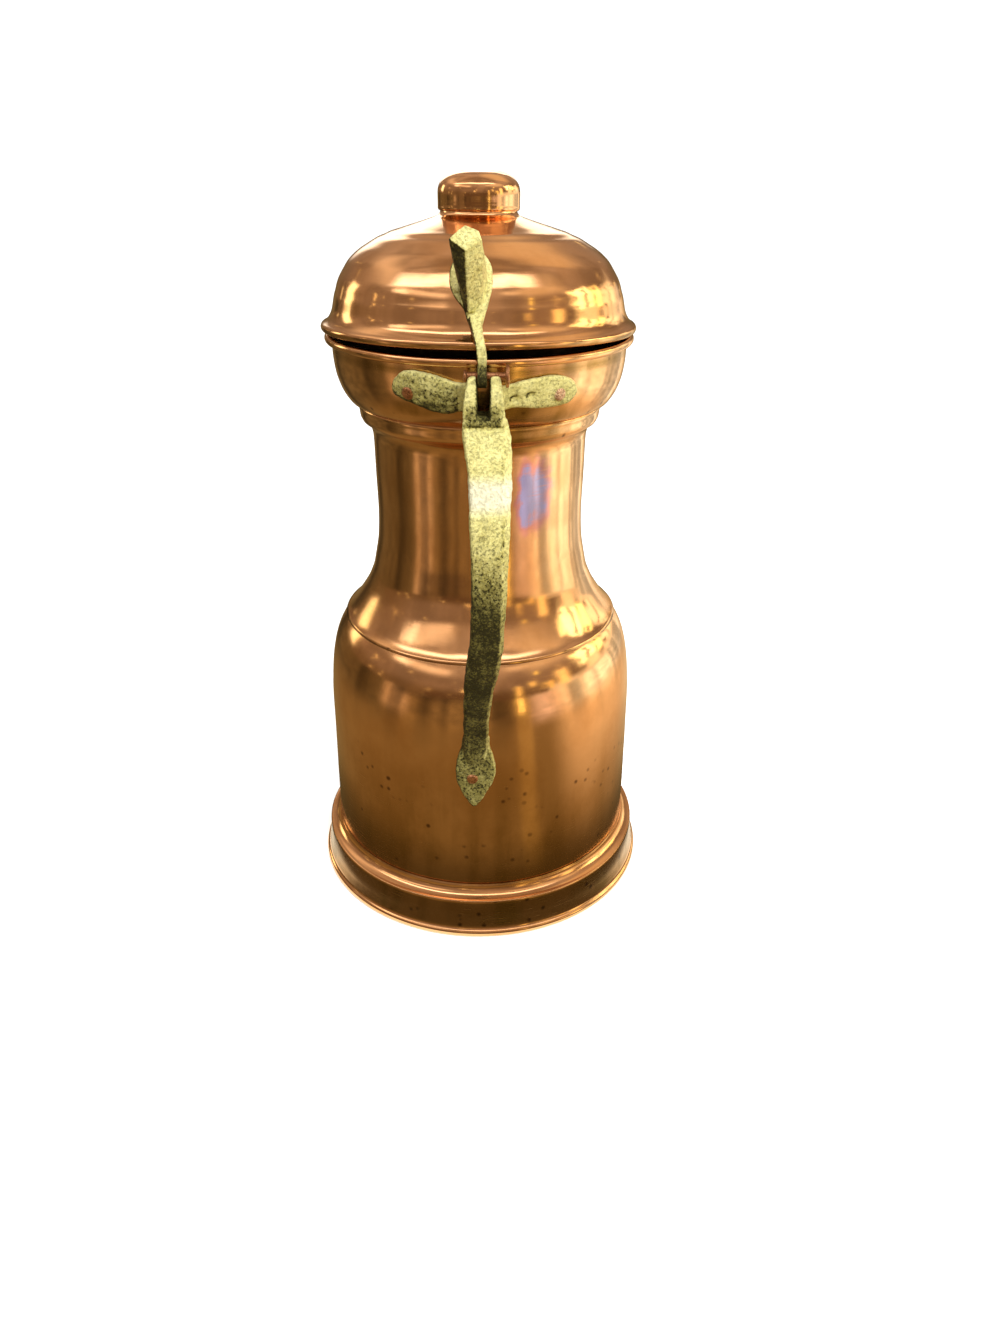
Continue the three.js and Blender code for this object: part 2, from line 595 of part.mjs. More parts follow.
const jug = new THREE.Group();
jug.add(
  piece('base_plate', basePlate(), COPPER),
  piece('foot_ring', footRing(), COPPER),
  piece('foot_wire', solidOf(wire(footWire.x, footWire.y, FOOT_BEAD - SHEET - GAP)), IRON),
  piece('lower_body', lowerBody(), COPPER),
  piece('neck_shell', neckShell(), COPPER),
  piece('mouth_bowl', mouthBowl(), COPPER),
  piece('mouth_wire', solidOf(wire(rimWire.x, rimWire.y, RIM_BEAD - SHEET - GAP)), IRON),
  piece('handle', handle(), BRASS),
  piece('wing_rivet_left', rivet(RIVET, wingSeats[0], SHEET, WING_THICKNESS), RIVET_COPPER),
  piece('wing_rivet_right', rivet(RIVET, wingSeats[1], SHEET, WING_THICKNESS), RIVET_COPPER),
  piece('tail_rivet', rivet(RIVET, leafSeat, SHEET, LEAF_THICKNESS), RIVET_COPPER),
  piece('hinge_pin', hingePin(), RIVET_COPPER),
);
lid.add(
  piece('lid_dome', lidDome(), COPPER),
  piece('lid_wire', solidOf(wire(lidWire.x, lidWire.y, LID_BEAD - LID_SHEET - GAP)), IRON),
  piece('knob_cap', knobCap(), COPPER),
  piece('hinge_arm', hingeArm(), BRASS),
  piece('arm_rivet_right', rivet(PAD_RIVET, padSeats[0], LID_SHEET, PAD_THICKNESS), BRASS),
  piece('arm_rivet_left', rivet(PAD_RIVET, padSeats[1], LID_SHEET, PAD_THICKNESS), BRASS),
);
jug.add(lid);

export default jug;
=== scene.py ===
"""Dresses the copper jug: fine spun shells, melted brass castings, finishes, light and camera."""

import logging
import math
from dataclasses import dataclass
from enum import Enum
from typing import Callable, Iterable, Sequence

import bmesh
import bpy
from bmesh.types import BMEdge, BMesh, BMVert
from bpy.types import Material, Node, NodeSocket, NodeTree, Object
from mathutils import Matrix, Vector, noise


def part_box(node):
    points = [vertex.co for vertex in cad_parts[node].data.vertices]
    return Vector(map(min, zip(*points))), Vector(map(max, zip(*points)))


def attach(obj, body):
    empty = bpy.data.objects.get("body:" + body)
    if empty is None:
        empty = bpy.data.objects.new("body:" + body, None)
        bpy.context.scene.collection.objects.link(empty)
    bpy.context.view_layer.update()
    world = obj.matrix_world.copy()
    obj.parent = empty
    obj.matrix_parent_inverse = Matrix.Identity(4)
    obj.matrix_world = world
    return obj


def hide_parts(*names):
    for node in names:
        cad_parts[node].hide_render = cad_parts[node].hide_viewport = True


log = logging.getLogger("jug")

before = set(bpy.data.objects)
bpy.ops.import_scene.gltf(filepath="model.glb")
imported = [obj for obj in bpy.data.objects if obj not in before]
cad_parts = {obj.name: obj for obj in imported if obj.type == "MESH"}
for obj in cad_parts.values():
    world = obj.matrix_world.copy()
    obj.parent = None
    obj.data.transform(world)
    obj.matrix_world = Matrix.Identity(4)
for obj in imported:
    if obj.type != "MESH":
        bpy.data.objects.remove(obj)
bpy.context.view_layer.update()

MM = 0.001
GAP = 0.3  # the joints' gap in the CAD
SPIN_STEPS = 160
SAME_SPOT = 1e-6
PIN = (71.0, 258.0)  # the hinge pin's distance out and height
BORE = 1.9

Pair = tuple[float, float]
Triple = tuple[float, float, float]
Line = Sequence[Pair]
Value = object  # a Wire, a number or a tuple of numbers

# Takes a vertex's place in millimetres and its normal, and gives a shade from 0 to 1, held to that by paint().
Shade = Callable[[Vector, Vector], float]


class Body(Enum):
    """The two bodies that pieces ride on."""

    JUG = "jug"
    LID = "lid"


class Slot(Enum):
    """The record's material slots."""

    COPPER = "copper"
    RIVET = "rivet_copper"
    BRASS = "cast_brass"


# Lines in millimetres


def smooth_line(points: Line, spacing: float = 1.2, closed: bool = False) -> list[Pair]:
    """Runs a smooth curve through points.

    Args:
        points: The points, in order.
        spacing: Wanted distance between the points of the result.
        closed: Whether the curve returns to its first point.

    Returns:
        Points on the curve, the ends included, or each point once where it is closed.
    """
    spots = [Vector((*point, 0.0)) for point in points]
    count = len(spots)
    line: list[Pair] = []
    for i in range(count if closed else count - 1):
        if closed:
            knots = [spots[(i + k) % count] for k in (-1, 0, 1, 2)]
        else:
            here, after = spots[i], spots[i + 1]
            before = spots[i - 1] if i else here * 2 - after
            beyond = spots[i + 2] if i + 2 < count else after * 2 - here
            knots = [before, here, after, beyond]
        steps = max(1, round((knots[2] - knots[1]).length / spacing))
        line += [_on_curve(knots, step / steps) for step in range(steps)]
    return line if closed else [*line, tuple(spots[-1].xy)]


def _on_curve(knots: Sequence[Vector], share: float) -> Pair:
    """Gives a point of a centripetal curve.

    Args:
        knots: Four knots.
        share: Share of the way from the second knot to the third.

    Returns:
        The point.
    """
    times = [0.0]
    for start, end in zip(knots, knots[1:]):
        times.append(times[-1] + max((end - start).length, SAME_SPOT) ** 0.5)
    at = times[1] + (times[2] - times[1]) * share

    def blend(spots: Sequence[Vector], first: int, last: int) -> Vector:
        """Mixes two spots by the time between two knots."""
        low, high = times[first], times[last]
        return spots[0] * ((high - at) / (high - low)) + spots[1] * ((at - low) / (high - low))

    once = [blend(knots[i:], i, i + 1) for i in range(3)]
    twice = [blend(once[i:], i, i + 2) for i in range(2)]
    return tuple(blend(twice, 1, 2).xy)


def arc(centre: Pair, radius: float, start: float, end: float, steps: int) -> list[Pair]:
    """Gives points on a circle, from one angle in degrees to another, both ends included."""
    angles = (math.radians(start + (end - start) * i / steps) for i in range(steps + 1))
    return [(centre[0] + radius * math.cos(a), centre[1] + radius * math.sin(a)) for a in angles]


def between(table: Sequence[Sequence[float]], at: float, column: int = 1) -> float:
    """Reads a table of rows by its first column.

    Args:
        table: Rows sorted by their first number, rising.
        at: Where to read.
        column: The column to read.

    Returns:
        The value there, held at the ends.
    """
    if at <= table[0][0]:
        return table[0][column]
    for low, high in zip(table, table[1:]):
        if at <= high[0]:
            share = (at - low[0]) / (high[0] - low[0])
            return low[column] + (high[column] - low[column]) * share
    return table[-1][column]


def radius_of(profile: Line) -> Callable[[float], float]:
    """Gives a shell's outer radius as a function of height."""
    rows = [(up, out) for out, up in profile]
    return lambda height: between(rows, height)


def heading(line: Sequence[Sequence[float]], i: int) -> Vector:
    """Gives the way that a line runs at its point number i, with length 1."""
    before, after = line[max(i - 1, 0)], line[min(i + 1, len(line) - 1)]
    return Vector((after[0] - before[0], after[1] - before[1])).normalized()


def ease(value: float, start: float, end: float) -> float:
    """Gives a soft step from 0 at start to 1 at end."""
    share = min(1.0, max(0.0, (value - start) / (end - start)))
    return share * share * (3.0 - 2.0 * share)


def fade(value: float, start: float, end: float) -> float:
    """Gives a soft step from 1 at start to 0 at end."""
    return 1.0 - ease(value, start, end)


def window(value: float, start: float, full: float, end: float, gone: float) -> float:
    """Gives 1 from full to end, 0 outside start and gone, and soft steps between."""
    return ease(value, start, full) * fade(value, end, gone)


def hinge_side(place: Vector) -> float:
    """Gives 1 on the hinge's side of the jug and 0 behind."""
    return ease(-place.y, 10.0, 30.0)


# Meshes


def new_object(name: str, source: BMesh) -> Object:
    """Makes a smooth-shaded scene object from a bmesh.

    Args:
        name: Name of the object and its mesh.
        source: The bmesh, in metres, which is freed.

    Returns:
        The object, at the origin.
    """
    mesh = bpy.data.meshes.new(name)
    source.to_mesh(mesh)
    source.free()
    mesh.shade_smooth()
    obj = bpy.data.objects.new(name, mesh)
    bpy.context.scene.collection.objects.link(obj)
    return obj


def spun(line: Line, low: float, high: float, way: Callable[[Vector], Vector], steps: int = SPIN_STEPS) -> BMesh:
    """Spins a line about the vertical axis.

    Args:
        line: Pairs of radius and height.
        low: Lower end of the band of heights that decides which side is out.
        high: Upper end of that band.
        way: Gives the way out from the middle of a face.
        steps: Steps of the full turn.

    Returns:
        The surface, in metres.
    """
    bm = bmesh.new()
    verts = [bm.verts.new((radius * MM, 0.0, height * MM)) for radius, height in line]
    edges = [bm.edges.new(pair) for pair in zip(verts, verts[1:])]
    bmesh.ops.spin(
        bm, geom=verts + edges, cent=(0, 0, 0), axis=(0, 0, 1), angle=math.tau, steps=steps, use_merge=True
    )
    bmesh.ops.remove_doubles(bm, verts=bm.verts, dist=SAME_SPOT)
    bmesh.ops.recalc_face_normals(bm, faces=bm.faces)
    bm.normal_update()
    middles = [(face, face.calc_center_median()) for face in bm.faces]
    if sum(face.normal.dot(way(middle)) for face, middle in middles if low < middle.z / MM < high) < 0:
        bmesh.ops.reverse_faces(bm, faces=bm.faces)
    return bm


def thicken(obj: Object, thickness: float, even: bool) -> None:
    """Gives a surface its sheet thickness inwards, with the inside as second material.

    Args:
        obj: The surface.
        thickness: Thickness of the sheet.
        even: Whether the thickness is kept in tight bends.
    """
    sheet = obj.modifiers.new("sheet", "SOLIDIFY")
    sheet.thickness = thickness * MM
    sheet.offset = -1.0
    sheet.use_even_offset = even
    sheet.material_offset = 1


def melt(name: str, lumps: Iterable[BMesh], grain: float, rounds: int) -> BMesh:
    """Melts overlapping solids into one skin, as a casting is.

    Args:
        name: Name for the passing object.
        lumps: Closed bmeshes, which are freed.
        grain: Size of the skin's faces.
        rounds: Rounds of smoothing.

    Returns:
        The closed skin.
    """
    mesh = bpy.data.meshes.new(name)
    whole = bmesh.new()
    for lump in lumps:
        bmesh.ops.recalc_face_normals(lump, faces=lump.faces)
        part = bpy.data.meshes.new(name)
        lump.to_mesh(part)
        lump.free()
        whole.from_mesh(part)
        bpy.data.meshes.remove(part)
    whole.to_mesh(mesh)
    whole.free()
    obj = bpy.data.objects.new(name, mesh)
    bpy.context.scene.collection.objects.link(obj)
    remesh = obj.modifiers.new("skin", "REMESH")
    remesh.mode = "VOXEL"
    remesh.voxel_size = grain * MM
    bpy.context.view_layer.update()
    skin = bmesh.new()
    skin.from_object(obj, bpy.context.evaluated_depsgraph_get())
    bpy.data.objects.remove(obj)
    for _ in range(rounds):
        bmesh.ops.smooth_vert(skin, verts=skin.verts, factor=0.5, use_axis_x=True, use_axis_y=True, use_axis_z=True)
    skin.normal_update()
    return skin


def extruded(corners: Sequence[Triple], along: Triple) -> tuple[BMesh, list[BMVert]]:
    """Extrudes a flat outline.

    Args:
        corners: The outline's corners.
        along: Way and length of the extrusion.

    Returns:
        The closed block in metres, and the vertices of its far face.
    """
    bm = bmesh.new()
    face = bm.faces.new([bm.verts.new(Vector(corner) * MM) for corner in corners])
    grown = bmesh.ops.extrude_face_region(bm, geom=[face])["geom"]
    far = [item for item in grown if isinstance(item, BMVert)]
    bmesh.ops.translate(bm, verts=far, vec=Vector(along) * MM)
    return bm, far


def block(side: Line, left: float, right: float) -> BMesh:
    """Extrudes a side view, given as distance out and height, across the jug from left to right."""
    bm, _ = extruded([(left, -out, height) for out, height in side], (right - left, 0.0, 0.0))
    bmesh.ops.recalc_face_normals(bm, faces=bm.faces)
    return bm


def bevelled(bm: BMesh, edges: Sequence[BMEdge], width: float, segments: int) -> None:
    """Rounds edges by a width in millimetres."""
    bmesh.ops.bevel(bm, geom=edges, offset=width * MM, segments=segments, profile=0.5, affect="EDGES", material=-1)


def fitted_plate(
    outline: Line, thickness: float, edge: float, radius_at: Callable[[float], float], spacing: float = 1.5
) -> BMesh:
    """Makes a plate that follows a round shell one gap off it.

    Args:
        outline: Corners as sideways place and height.
        thickness: Its thickness.
        edge: Width of the rounding on its outer edge.
        radius_at: Gives the shell's outer radius at a height.
        spacing: Distance between the points of its outline.

    Returns:
        The closed plate, in metres.
    """
    corners = [(across, 0.0, height) for across, height in smooth_line(outline, spacing, closed=True)]
    bm, far = extruded(corners, (0.0, -thickness, 0.0))
    outer = set(far)
    bevelled(bm, [e for e in bm.edges if all(v in outer for v in e.verts)], edge, 3)
    bmesh.ops.triangulate(bm, faces=bm.faces)
    for _ in range(6):
        long = [e for e in bm.edges if e.calc_length() > 2.5 * MM]
        if not long:
            break
        bmesh.ops.subdivide_edges(bm, edges=long, cuts=1)
        bmesh.ops.triangulate(bm, faces=[f for f in bm.faces if len(f.verts) > 3])
    for vert in bm.verts:
        across, depth, height = vert.co.x / MM, -vert.co.y / MM, vert.co.z / MM
        reach = radius_at(height) + GAP + depth
        vert.co.y = -math.sqrt(max(reach * reach - across * across, 0.0)) * MM
    return bm


def bar(stations: Sequence[Sequence[Vector]]) -> BMesh:
    """Draws a ring of points along a bar by extruding it from station to station.

    Args:
        stations: Equally many points for each station.

    Returns:
        The closed bar, in metres.
    """
    bm = bmesh.new()
    ring = [bm.verts.new(spot * MM) for spot in stations[0]]
    bm.faces.new(ring)
    for station in stations[1:]:
        edges = [bm.edges.get(pair) for pair in zip(ring, ring[1:] + ring[:1])]
        grown = set(bmesh.ops.extrude_edge_only(bm, edges=edges)["geom"])
        ring = [next(e.other_vert(v) for e in v.link_edges if e.other_vert(v) in grown) for v in ring]
        for vert, spot in zip(ring, station):
            vert.co = spot * MM
    bm.faces.new(list(reversed(ring)))
    bmesh.ops.recalc_face_normals(bm, faces=bm.faces)
    return bm


def hull(corners: Sequence[Triple]) -> BMesh:
    """Wraps corners in a convex solid.

    Args:
        corners: Sideways place, distance out and height of each.

    Returns:
        The closed solid, in metres.
    """
    bm = bmesh.new()
    for across, out, up in corners:
        bm.verts.new(Vector((across, -out, up)) * MM)
    inner = bmesh.ops.convex_hull(bm, input=bm.verts)["geom_interior"]
    bmesh.ops.delete(bm, geom=[item for item in inner if isinstance(item, BMVert)], context="VERTS")
    return bm


def drum(radius: float, left: float, right: float, out: float, height: float, sides: int = 32) -> BMesh:
    """Makes a round bar across the jug.

    Args:
        radius: Its radius.
        left: Sideways place of its left end.
        right: Sideways place of its right end.
        out: Distance of its axis in front of the jug's.
        height: Height of its axis.
        sides: Number of flats.

    Returns:
        The closed bar, in metres.
    """
    bm = bmesh.new()
    bmesh.ops.create_cone(
        bm, cap_ends=True, segments=sides, radius1=radius * MM, radius2=radius * MM, depth=(right - left) * MM
    )
    bmesh.ops.rotate(bm, verts=bm.verts, matrix=Matrix.Rotation(math.pi / 2, 3, "Y"))
    bmesh.ops.translate(bm, verts=bm.verts, vec=((left + right) / 2 * MM, -out * MM, height * MM))
    return bm


def bore(obj: Object, tool: BMesh) -> None:
    """Cuts a closed tool out of an object's mesh.

    Args:
        obj: The object.
        tool: The tool, which is freed.
    """
    cutter = new_object(obj.name + "_tool", tool)
    cut = obj.modifiers.new("bore", "BOOLEAN")
    cut.operation = "DIFFERENCE"
    cut.solver = "EXACT"
    cut.object = cutter
    bpy.context.view_layer.update()
    result = bpy.data.meshes.new_from_object(obj.evaluated_get(bpy.context.evaluated_depsgraph_get()))
    obj.modifiers.clear()
    obj.data = result
    bpy.data.objects.remove(cutter)
    result.shade_smooth()


def roughen(bm: BMesh, waves: Line, seed: float) -> None:
    """Moves vertices in and out by layers of noise.

    Args:
        bm: The mesh.
        waves: Wave length and depth of each layer.
        seed: Where the noise is read, so that pieces differ.
    """
    bm.normal_update()
    shift = Vector((seed, seed * 1.7, -seed))
    moves = []
    for vert in bm.verts:
        depth = sum(noise.noise(vert.co / (length * MM) + shift) * height for length, height in waves)
        moves.append(vert.normal * depth * MM)
    for vert, move in zip(bm.verts, moves):
        vert.co += move


def paint(obj: Object, name: str, shade: Shade) -> None:
    """Stores a shade of each vertex under a name, for a finish to read."""
    values = obj.data.attributes.new(name, "FLOAT", "POINT").data
    for value, vert in zip(values, obj.data.vertices):
        value.value = min(1.0, max(0.0, shade(vert.co / MM, vert.normal)))


# Finishes


class Wire:
    """A value in a node tree, which can be added, subtracted and multiplied."""

    def __init__(self, hand: "Nodes", socket: NodeSocket) -> None:
        """Takes the tree's hand and the socket that gives the value."""
        self.hand, self.socket = hand, socket

    def __add__(self, other: Value) -> "Wire":
        """Adds a value."""
        return self.hand.maths("ADD", self, other)

    def __sub__(self, other: Value) -> "Wire":
        """Takes a value away."""
        return self.hand.maths("SUBTRACT", self, other)

    def __rsub__(self, other: float) -> "Wire":
        """Takes this away from a number."""
        return self.hand.maths("SUBTRACT", other, self)

    def __mul__(self, other: Value) -> "Wire":
        """Multiplies by a value."""
        return self.hand.maths("MULTIPLY", self, other)


class Nodes:
    """A hand that lays out a node tree."""

    def __init__(self, tree: NodeTree) -> None:
        """Takes the tree to fill."""
        self.tree = tree

    def add(self, kind: str, **settings: object) -> Node:
        """Adds a node and sets its properties."""
        node = self.tree.nodes.new(kind if kind.startswith("NodeGroup") else "ShaderNode" + kind)
        for name, value in settings.items():
            setattr(node, name, value)
        return node

    def feed(self, socket: NodeSocket, value: Value) -> None:
        """Links a wire to a socket, or sets its constant.

        Args:
            socket: The socket.
            value: A wire, a number or a tuple; a colour comes without its alpha.
        """
        if isinstance(value, Wire):
            self.tree.links.new(value.socket, socket)
        elif isinstance(value, tuple) and len(socket.default_value) > len(value):
            socket.default_value = (*value, 1.0)
        else:
            socket.default_value = value

    def node(self, kind: str, inputs: dict[str | int, Value], output: str | int = 0, **settings: object) -> Wire:
        """Adds a node with its inputs.

        Args:
            kind: The node's type, without its prefix.
            inputs: What goes into its sockets.
            output: The output that is wanted.
            settings: The node's properties.

        Returns:
            That output.
        """
        node = self.add(kind, **settings)
        for key, value in inputs.items():
            self.feed(node.inputs[key], value)
        return Wire(self, node.outputs[output])

    def maths(self, operation: str, first: Value, second: Value = 0.0, clamp: bool = False) -> Wire:
        """Works out a value from one or two others, clamped from 0 to 1 where asked."""
        return self.node("Math", {0: first, 1: second}, operation=operation, use_clamp=clamp)

    def ramp(self, source: Wire, low: float, high: float) -> Wire:
        """Stretches a value softly, so that low becomes 0 and high becomes 1."""
        limits = {"From Min": low, "From Max": high, "Value": source}
        return self.node("MapRange", limits, "Result", interpolation_type="SMOOTHSTEP")

    def mix(self, share: Value, first: Value, second: Value) -> Wire:
        """Mixes two colours."""
        return self.node("Mix", {0: share, 6: first, 7: second}, 2, data_type="RGBA")

    def noise(self, coords: Wire, scale: Triple, detail: float, rough: float = 0.5) -> Wire:
        """Reads noise of so many waves per metre along each axis, with finer layers and their weight."""
        place = self.node("Mapping", {"Scale": scale, "Vector": coords})
        return self.node("TexNoise", {"Scale": 1.0, "Detail": detail, "Roughness": rough, "Vector": place}, "Fac")

    def painted(self, name: str) -> Wire:
        """Reads a number that paint() has stored on the vertices."""
        return self.node("Attribute", {}, "Fac", attribute_name=name)

    def bump(self, height: Wire, strength: float, depth: float) -> Wire:
        """Gives a normal from a height, whose 1 is so deep in metres."""
        return self.node("Bump", {"Strength": strength, "Distance": depth, "Height": height}, "Normal")


class Effect(Enum):
    """Effects that several finishes share: the name of each node group, and its outputs."""

    TURNING = ("turning_marks", "Height", "Scratches")
    TARNISH = ("tarnish", "Cloud", "Runs", "Specks")
    CASTING = ("sand_cast_skin", "Height", "Pits", "Grime")

    def on(self, hand: Nodes, place: Wire) -> dict[str, Wire]:
        """Puts the effect in a material.

        Args:
            hand: The material's nodes.
            place: Coordinates in metres.

        Returns:
            The effect's outputs by name.
        """
        node = hand.add("Group", node_tree=bpy.data.node_groups.get(self.value[0]) or self._group())
        hand.feed(node.inputs["Place"], place)
        return {name: Wire(hand, node.outputs[name]) for name in self.value[1:]}

    def _group(self) -> NodeTree:
        """Makes the node group.

        Returns:
            The group, with coordinates in and the effect's numbers out.
        """
        tree = bpy.data.node_groups.new(self.value[0], "ShaderNodeTree")
        tree.interface.new_socket("Place", in_out="INPUT", socket_type="NodeSocketVector")
        for name in self.value[1:]:
            tree.interface.new_socket(name, in_out="OUTPUT", socket_type="NodeSocketFloat")
        hand = Nodes(tree)
        recipe = {Effect.TURNING: self._turning, Effect.TARNISH: self._tarnish, Effect.CASTING: self._casting}[self]
        out = hand.add("NodeGroupOutput")
        for name, wire in zip(self.value[1:], recipe(hand, hand.node("NodeGroupInput", {}, "Place"))):
            hand.feed(out.inputs[name], wire)
        return tree

    def _turning(self, hand: Nodes, place: Wire) -> tuple[Wire, ...]:
        """Lays out marks of raising and turning.

        Args:
            hand: The group's nodes.
            place: Coordinates in metres.

        Returns:
            Height of dents, rings and scratches, and the scratches.
        """
        dents = hand.noise(place, (55, 55, 42), 2.0)
        rings = hand.noise(place, (9, 9, 1500), 3.0, 0.7)
        short = hand.ramp(hand.noise(place, (60, 60, 3200), 2.0, 0.6), 0.58, 0.74)
        slant = hand.ramp(hand.noise(place, (900, 700, 120), 2.0, 0.6), 0.70, 0.80)
        scratches = hand.maths("MAXIMUM", short, slant)
        peel = hand.noise(place, (420, 420, 300), 2.0, 0.6)
        return dents * 0.5 + rings * 0.02 + peel * 0.030 - scratches * 0.004, scratches

    def _tarnish(self, hand: Nodes, place: Wire) -> tuple[Wire, ...]:
        """Lays out tarnish.

        Args:
            hand: The group's nodes.
            place: Coordinates in metres.

        Returns:
            Cloudy blotches, runs and small dark specks.
        """
        cloud = hand.ramp(hand.noise(place, (26, 26, 20), 6.0, 0.62), 0.36, 0.68)
        runs = hand.ramp(hand.noise(place, (95, 95, 9), 4.0, 0.55), 0.45, 0.70)
        cells = hand.node("TexVoronoi", {"Scale": 150.0, "Vector": place}, "Distance")
        where = hand.ramp(hand.noise(place, (40, 40, 40), 3.0), 0.44, 0.54)
        return cloud, runs, (1.0 - hand.ramp(cells, 0.06, 0.24)) * where

    def _casting(self, hand: Nodes, place: Wire) -> tuple[Wire, ...]:
        """Lays out the skin of a sand casting.

        Args:
            hand: The group's nodes.
            place: Coordinates in metres.

        Returns:
            Height of the grain, pits and grime.
        """
        grain = hand.noise(place, (1300, 1300, 1300), 4.0, 0.75)
        coarse = hand.noise(place, (560, 560, 560), 4.0, 0.65)
        pits = hand.ramp(hand.noise(place, (900, 900, 900), 4.0, 0.75), 0.52, 0.34)
        broad = hand.noise(place, (170, 170, 120), 5.0, 0.65)
        return grain * 0.7 + coarse * 0.8 - pits * 0.4, pits, hand.ramp(grain * 0.75 + broad * 0.55, 0.52, 0.76)


@dataclass(frozen=True)
class Finish:
    """A finish, which makes one material; each kind has its own look."""

    name: str

    def look(self, hand: Nodes, coords: Wire) -> dict[str, Value]:
        """Gives what goes into the shader, by the names of its inputs."""
        raise NotImplementedError(self.name)

    def make(self) -> Material:
        """Builds the material.

        Returns:
            The material.
        """
        material = bpy.data.materials.new(self.name)
        material.use_nodes = True
        hand = Nodes(material.node_tree)
        shader = material.node_tree.nodes["Principled BSDF"]
        for name, value in self.look(hand, hand.node("TexCoord", {}, "Object")).items():
            hand.feed(shader.inputs[name], value)
        return material


@dataclass(frozen=True)
class CopperFinish(Finish):
    """Polished copper sheet; the painted shade darkens it towards brown, standing in for shade and dark reflections,
    and the painted stain turns it violet.
    """

    name: str = "jug_copper"
    bright: Triple = (0.97, 0.57, 0.32)
    warm: Triple = (0.80, 0.385, 0.15)
    # Colour of the painted shade.
    shade_brown: Triple = (0.36, 0.20, 0.055)
    speck: Triple = (0.09, 0.032, 0.010)
    stain_rim: Triple = (0.78, 0.36, 0.34)
    stain: Triple = (0.44, 0.46, 0.88)
    roughness: float = 0.10
    seed: float = 0.0

    def look(self, hand: Nodes, coords: Wire) -> dict[str, Value]:
        """Lays out the nodes.

        Args:
            hand: The material's nodes.
            coords: Coordinates in metres.

        Returns:
            The shader's inputs.
        """
        place = hand.node("Mapping", {"Location": (self.seed, self.seed * 0.7, 0.0), "Vector": coords})
        marks, tarnish = Effect.TURNING.on(hand, place), Effect.TARNISH.on(hand, place)
        cloud, runs, tone = tarnish["Cloud"], tarnish["Runs"], hand.painted("tone")
        colour = hand.mix(cloud * 0.52, self.bright, self.warm)
        uneven = (runs - 0.5) * 0.30 + (cloud - 0.5) * 0.60
        # The painted shade, broken up by the tarnish, darkens the copper towards brown and roughens it.
        depth = hand.maths("ADD", tone, uneven * tone, clamp=True)
        colour = hand.mix(depth, colour, self.shade_brown)
        colour = hand.mix(tarnish["Specks"] * hand.ramp(tone, 0.22, 0.34) * 0.8, colour, self.speck)
        edge = hand.painted("stain") * (runs + 0.8) - marks["Scratches"] * 0.35
        colour = hand.mix(hand.ramp(edge, 0.02, 0.45), colour, self.stain_rim)
        colour = hand.mix(hand.ramp(edge, 0.35, 0.95), colour, self.stain)
        rough = cloud * 0.05 + self.roughness + marks["Scratches"] * 0.10 + depth * 0.10
        normal = hand.bump(marks["Height"], 0.5, 0.0006)
        return {"Base Color": colour, "Roughness": rough, "Metallic": 1.0, "Normal": normal}


@dataclass(frozen=True)
class TinFinish(Finish):
    """Wiped tin lining inside the shells."""

    name: str = "tin_lining"
    bright: Triple = (0.56, 0.54, 0.50)
    dull: Triple = (0.30, 0.27, 0.23)
    speck: Triple = (0.30, 0.15, 0.08)

    def look(self, hand: Nodes, coords: Wire) -> dict[str, Value]:
        """Lays out the nodes.

        Args:
            hand: The material's nodes.
            coords: Coordinates in metres.

        Returns:
            The shader's inputs.
        """
        marks, tarnish = Effect.TURNING.on(hand, coords), Effect.TARNISH.on(hand, coords)
        colour = hand.mix(tarnish["Specks"] * 0.6, hand.mix(tarnish["Cloud"], self.bright, self.dull), self.speck)
        normal = hand.bump(marks["Height"], 0.5, 0.0005)
        return {"Base Color": colour, "Roughness": tarnish["Runs"] * 0.15 + 0.38, "Metallic": 1.0, "Normal": normal}


@dataclass(frozen=True)
class BrassFinish(Finish):
    """Sand-cast brass: pale under the painted highlight, olive where its grime and the painted shade lie."""

    name: str = "jug_brass"
    bright: Triple = (0.98, 0.935, 0.42)
    # Colour of the painted highlight.
    gleam: Triple = (1.0, 0.98, 0.74)
    dull: Triple = (0.56, 0.50, 0.14)
    # Colour of the casting's pits and of the deepest painted shade.
    dirt_and_shade: Triple = (0.040, 0.037, 0.010)
    roughness: float = 0.30
    grain: float = 0.00070
    metallic: float = 0.45

    def look(self, hand: Nodes, coords: Wire) -> dict[str, Value]:
        """Lays out the nodes.

        Args:
            hand: The material's nodes.
            coords: Coordinates in metres.

        Returns:
            The shader's inputs.
        """
        skin = Effect.CASTING.on(hand, coords)
        tone, gleam = hand.painted("tone"), hand.painted("gleam")
        # The painted highlight clears the grime, the pits and the painted shade from under it.
        outside_highlight = 1.0 - gleam * 0.8
        dull = hand.maths("ADD", skin["Grime"] * 0.50, tone, clamp=True) * outside_highlight
        colour = hand.mix(dull, hand.mix(gleam, self.bright, self.gleam), self.dull)
        pits = skin["Pits"] * hand.ramp(tone, -0.35, 0.75)
        # Darkened in the casting's pits and by the deeper painted shade.
        dirt_and_shade = hand.maths("ADD", pits, hand.ramp(tone, 0.30, 1.0) * (skin["Grime"] * 0.5 + 0.60), clamp=True)
        colour = hand.mix(dirt_and_shade * outside_highlight, colour, self.dirt_and_shade)
        normal = hand.bump(skin["Height"], 0.9, self.grain)
        rough = dull * 0.20 + self.roughness
        return {"Base Color": colour, "Roughness": rough, "Metallic": self.metallic, "Normal": normal}


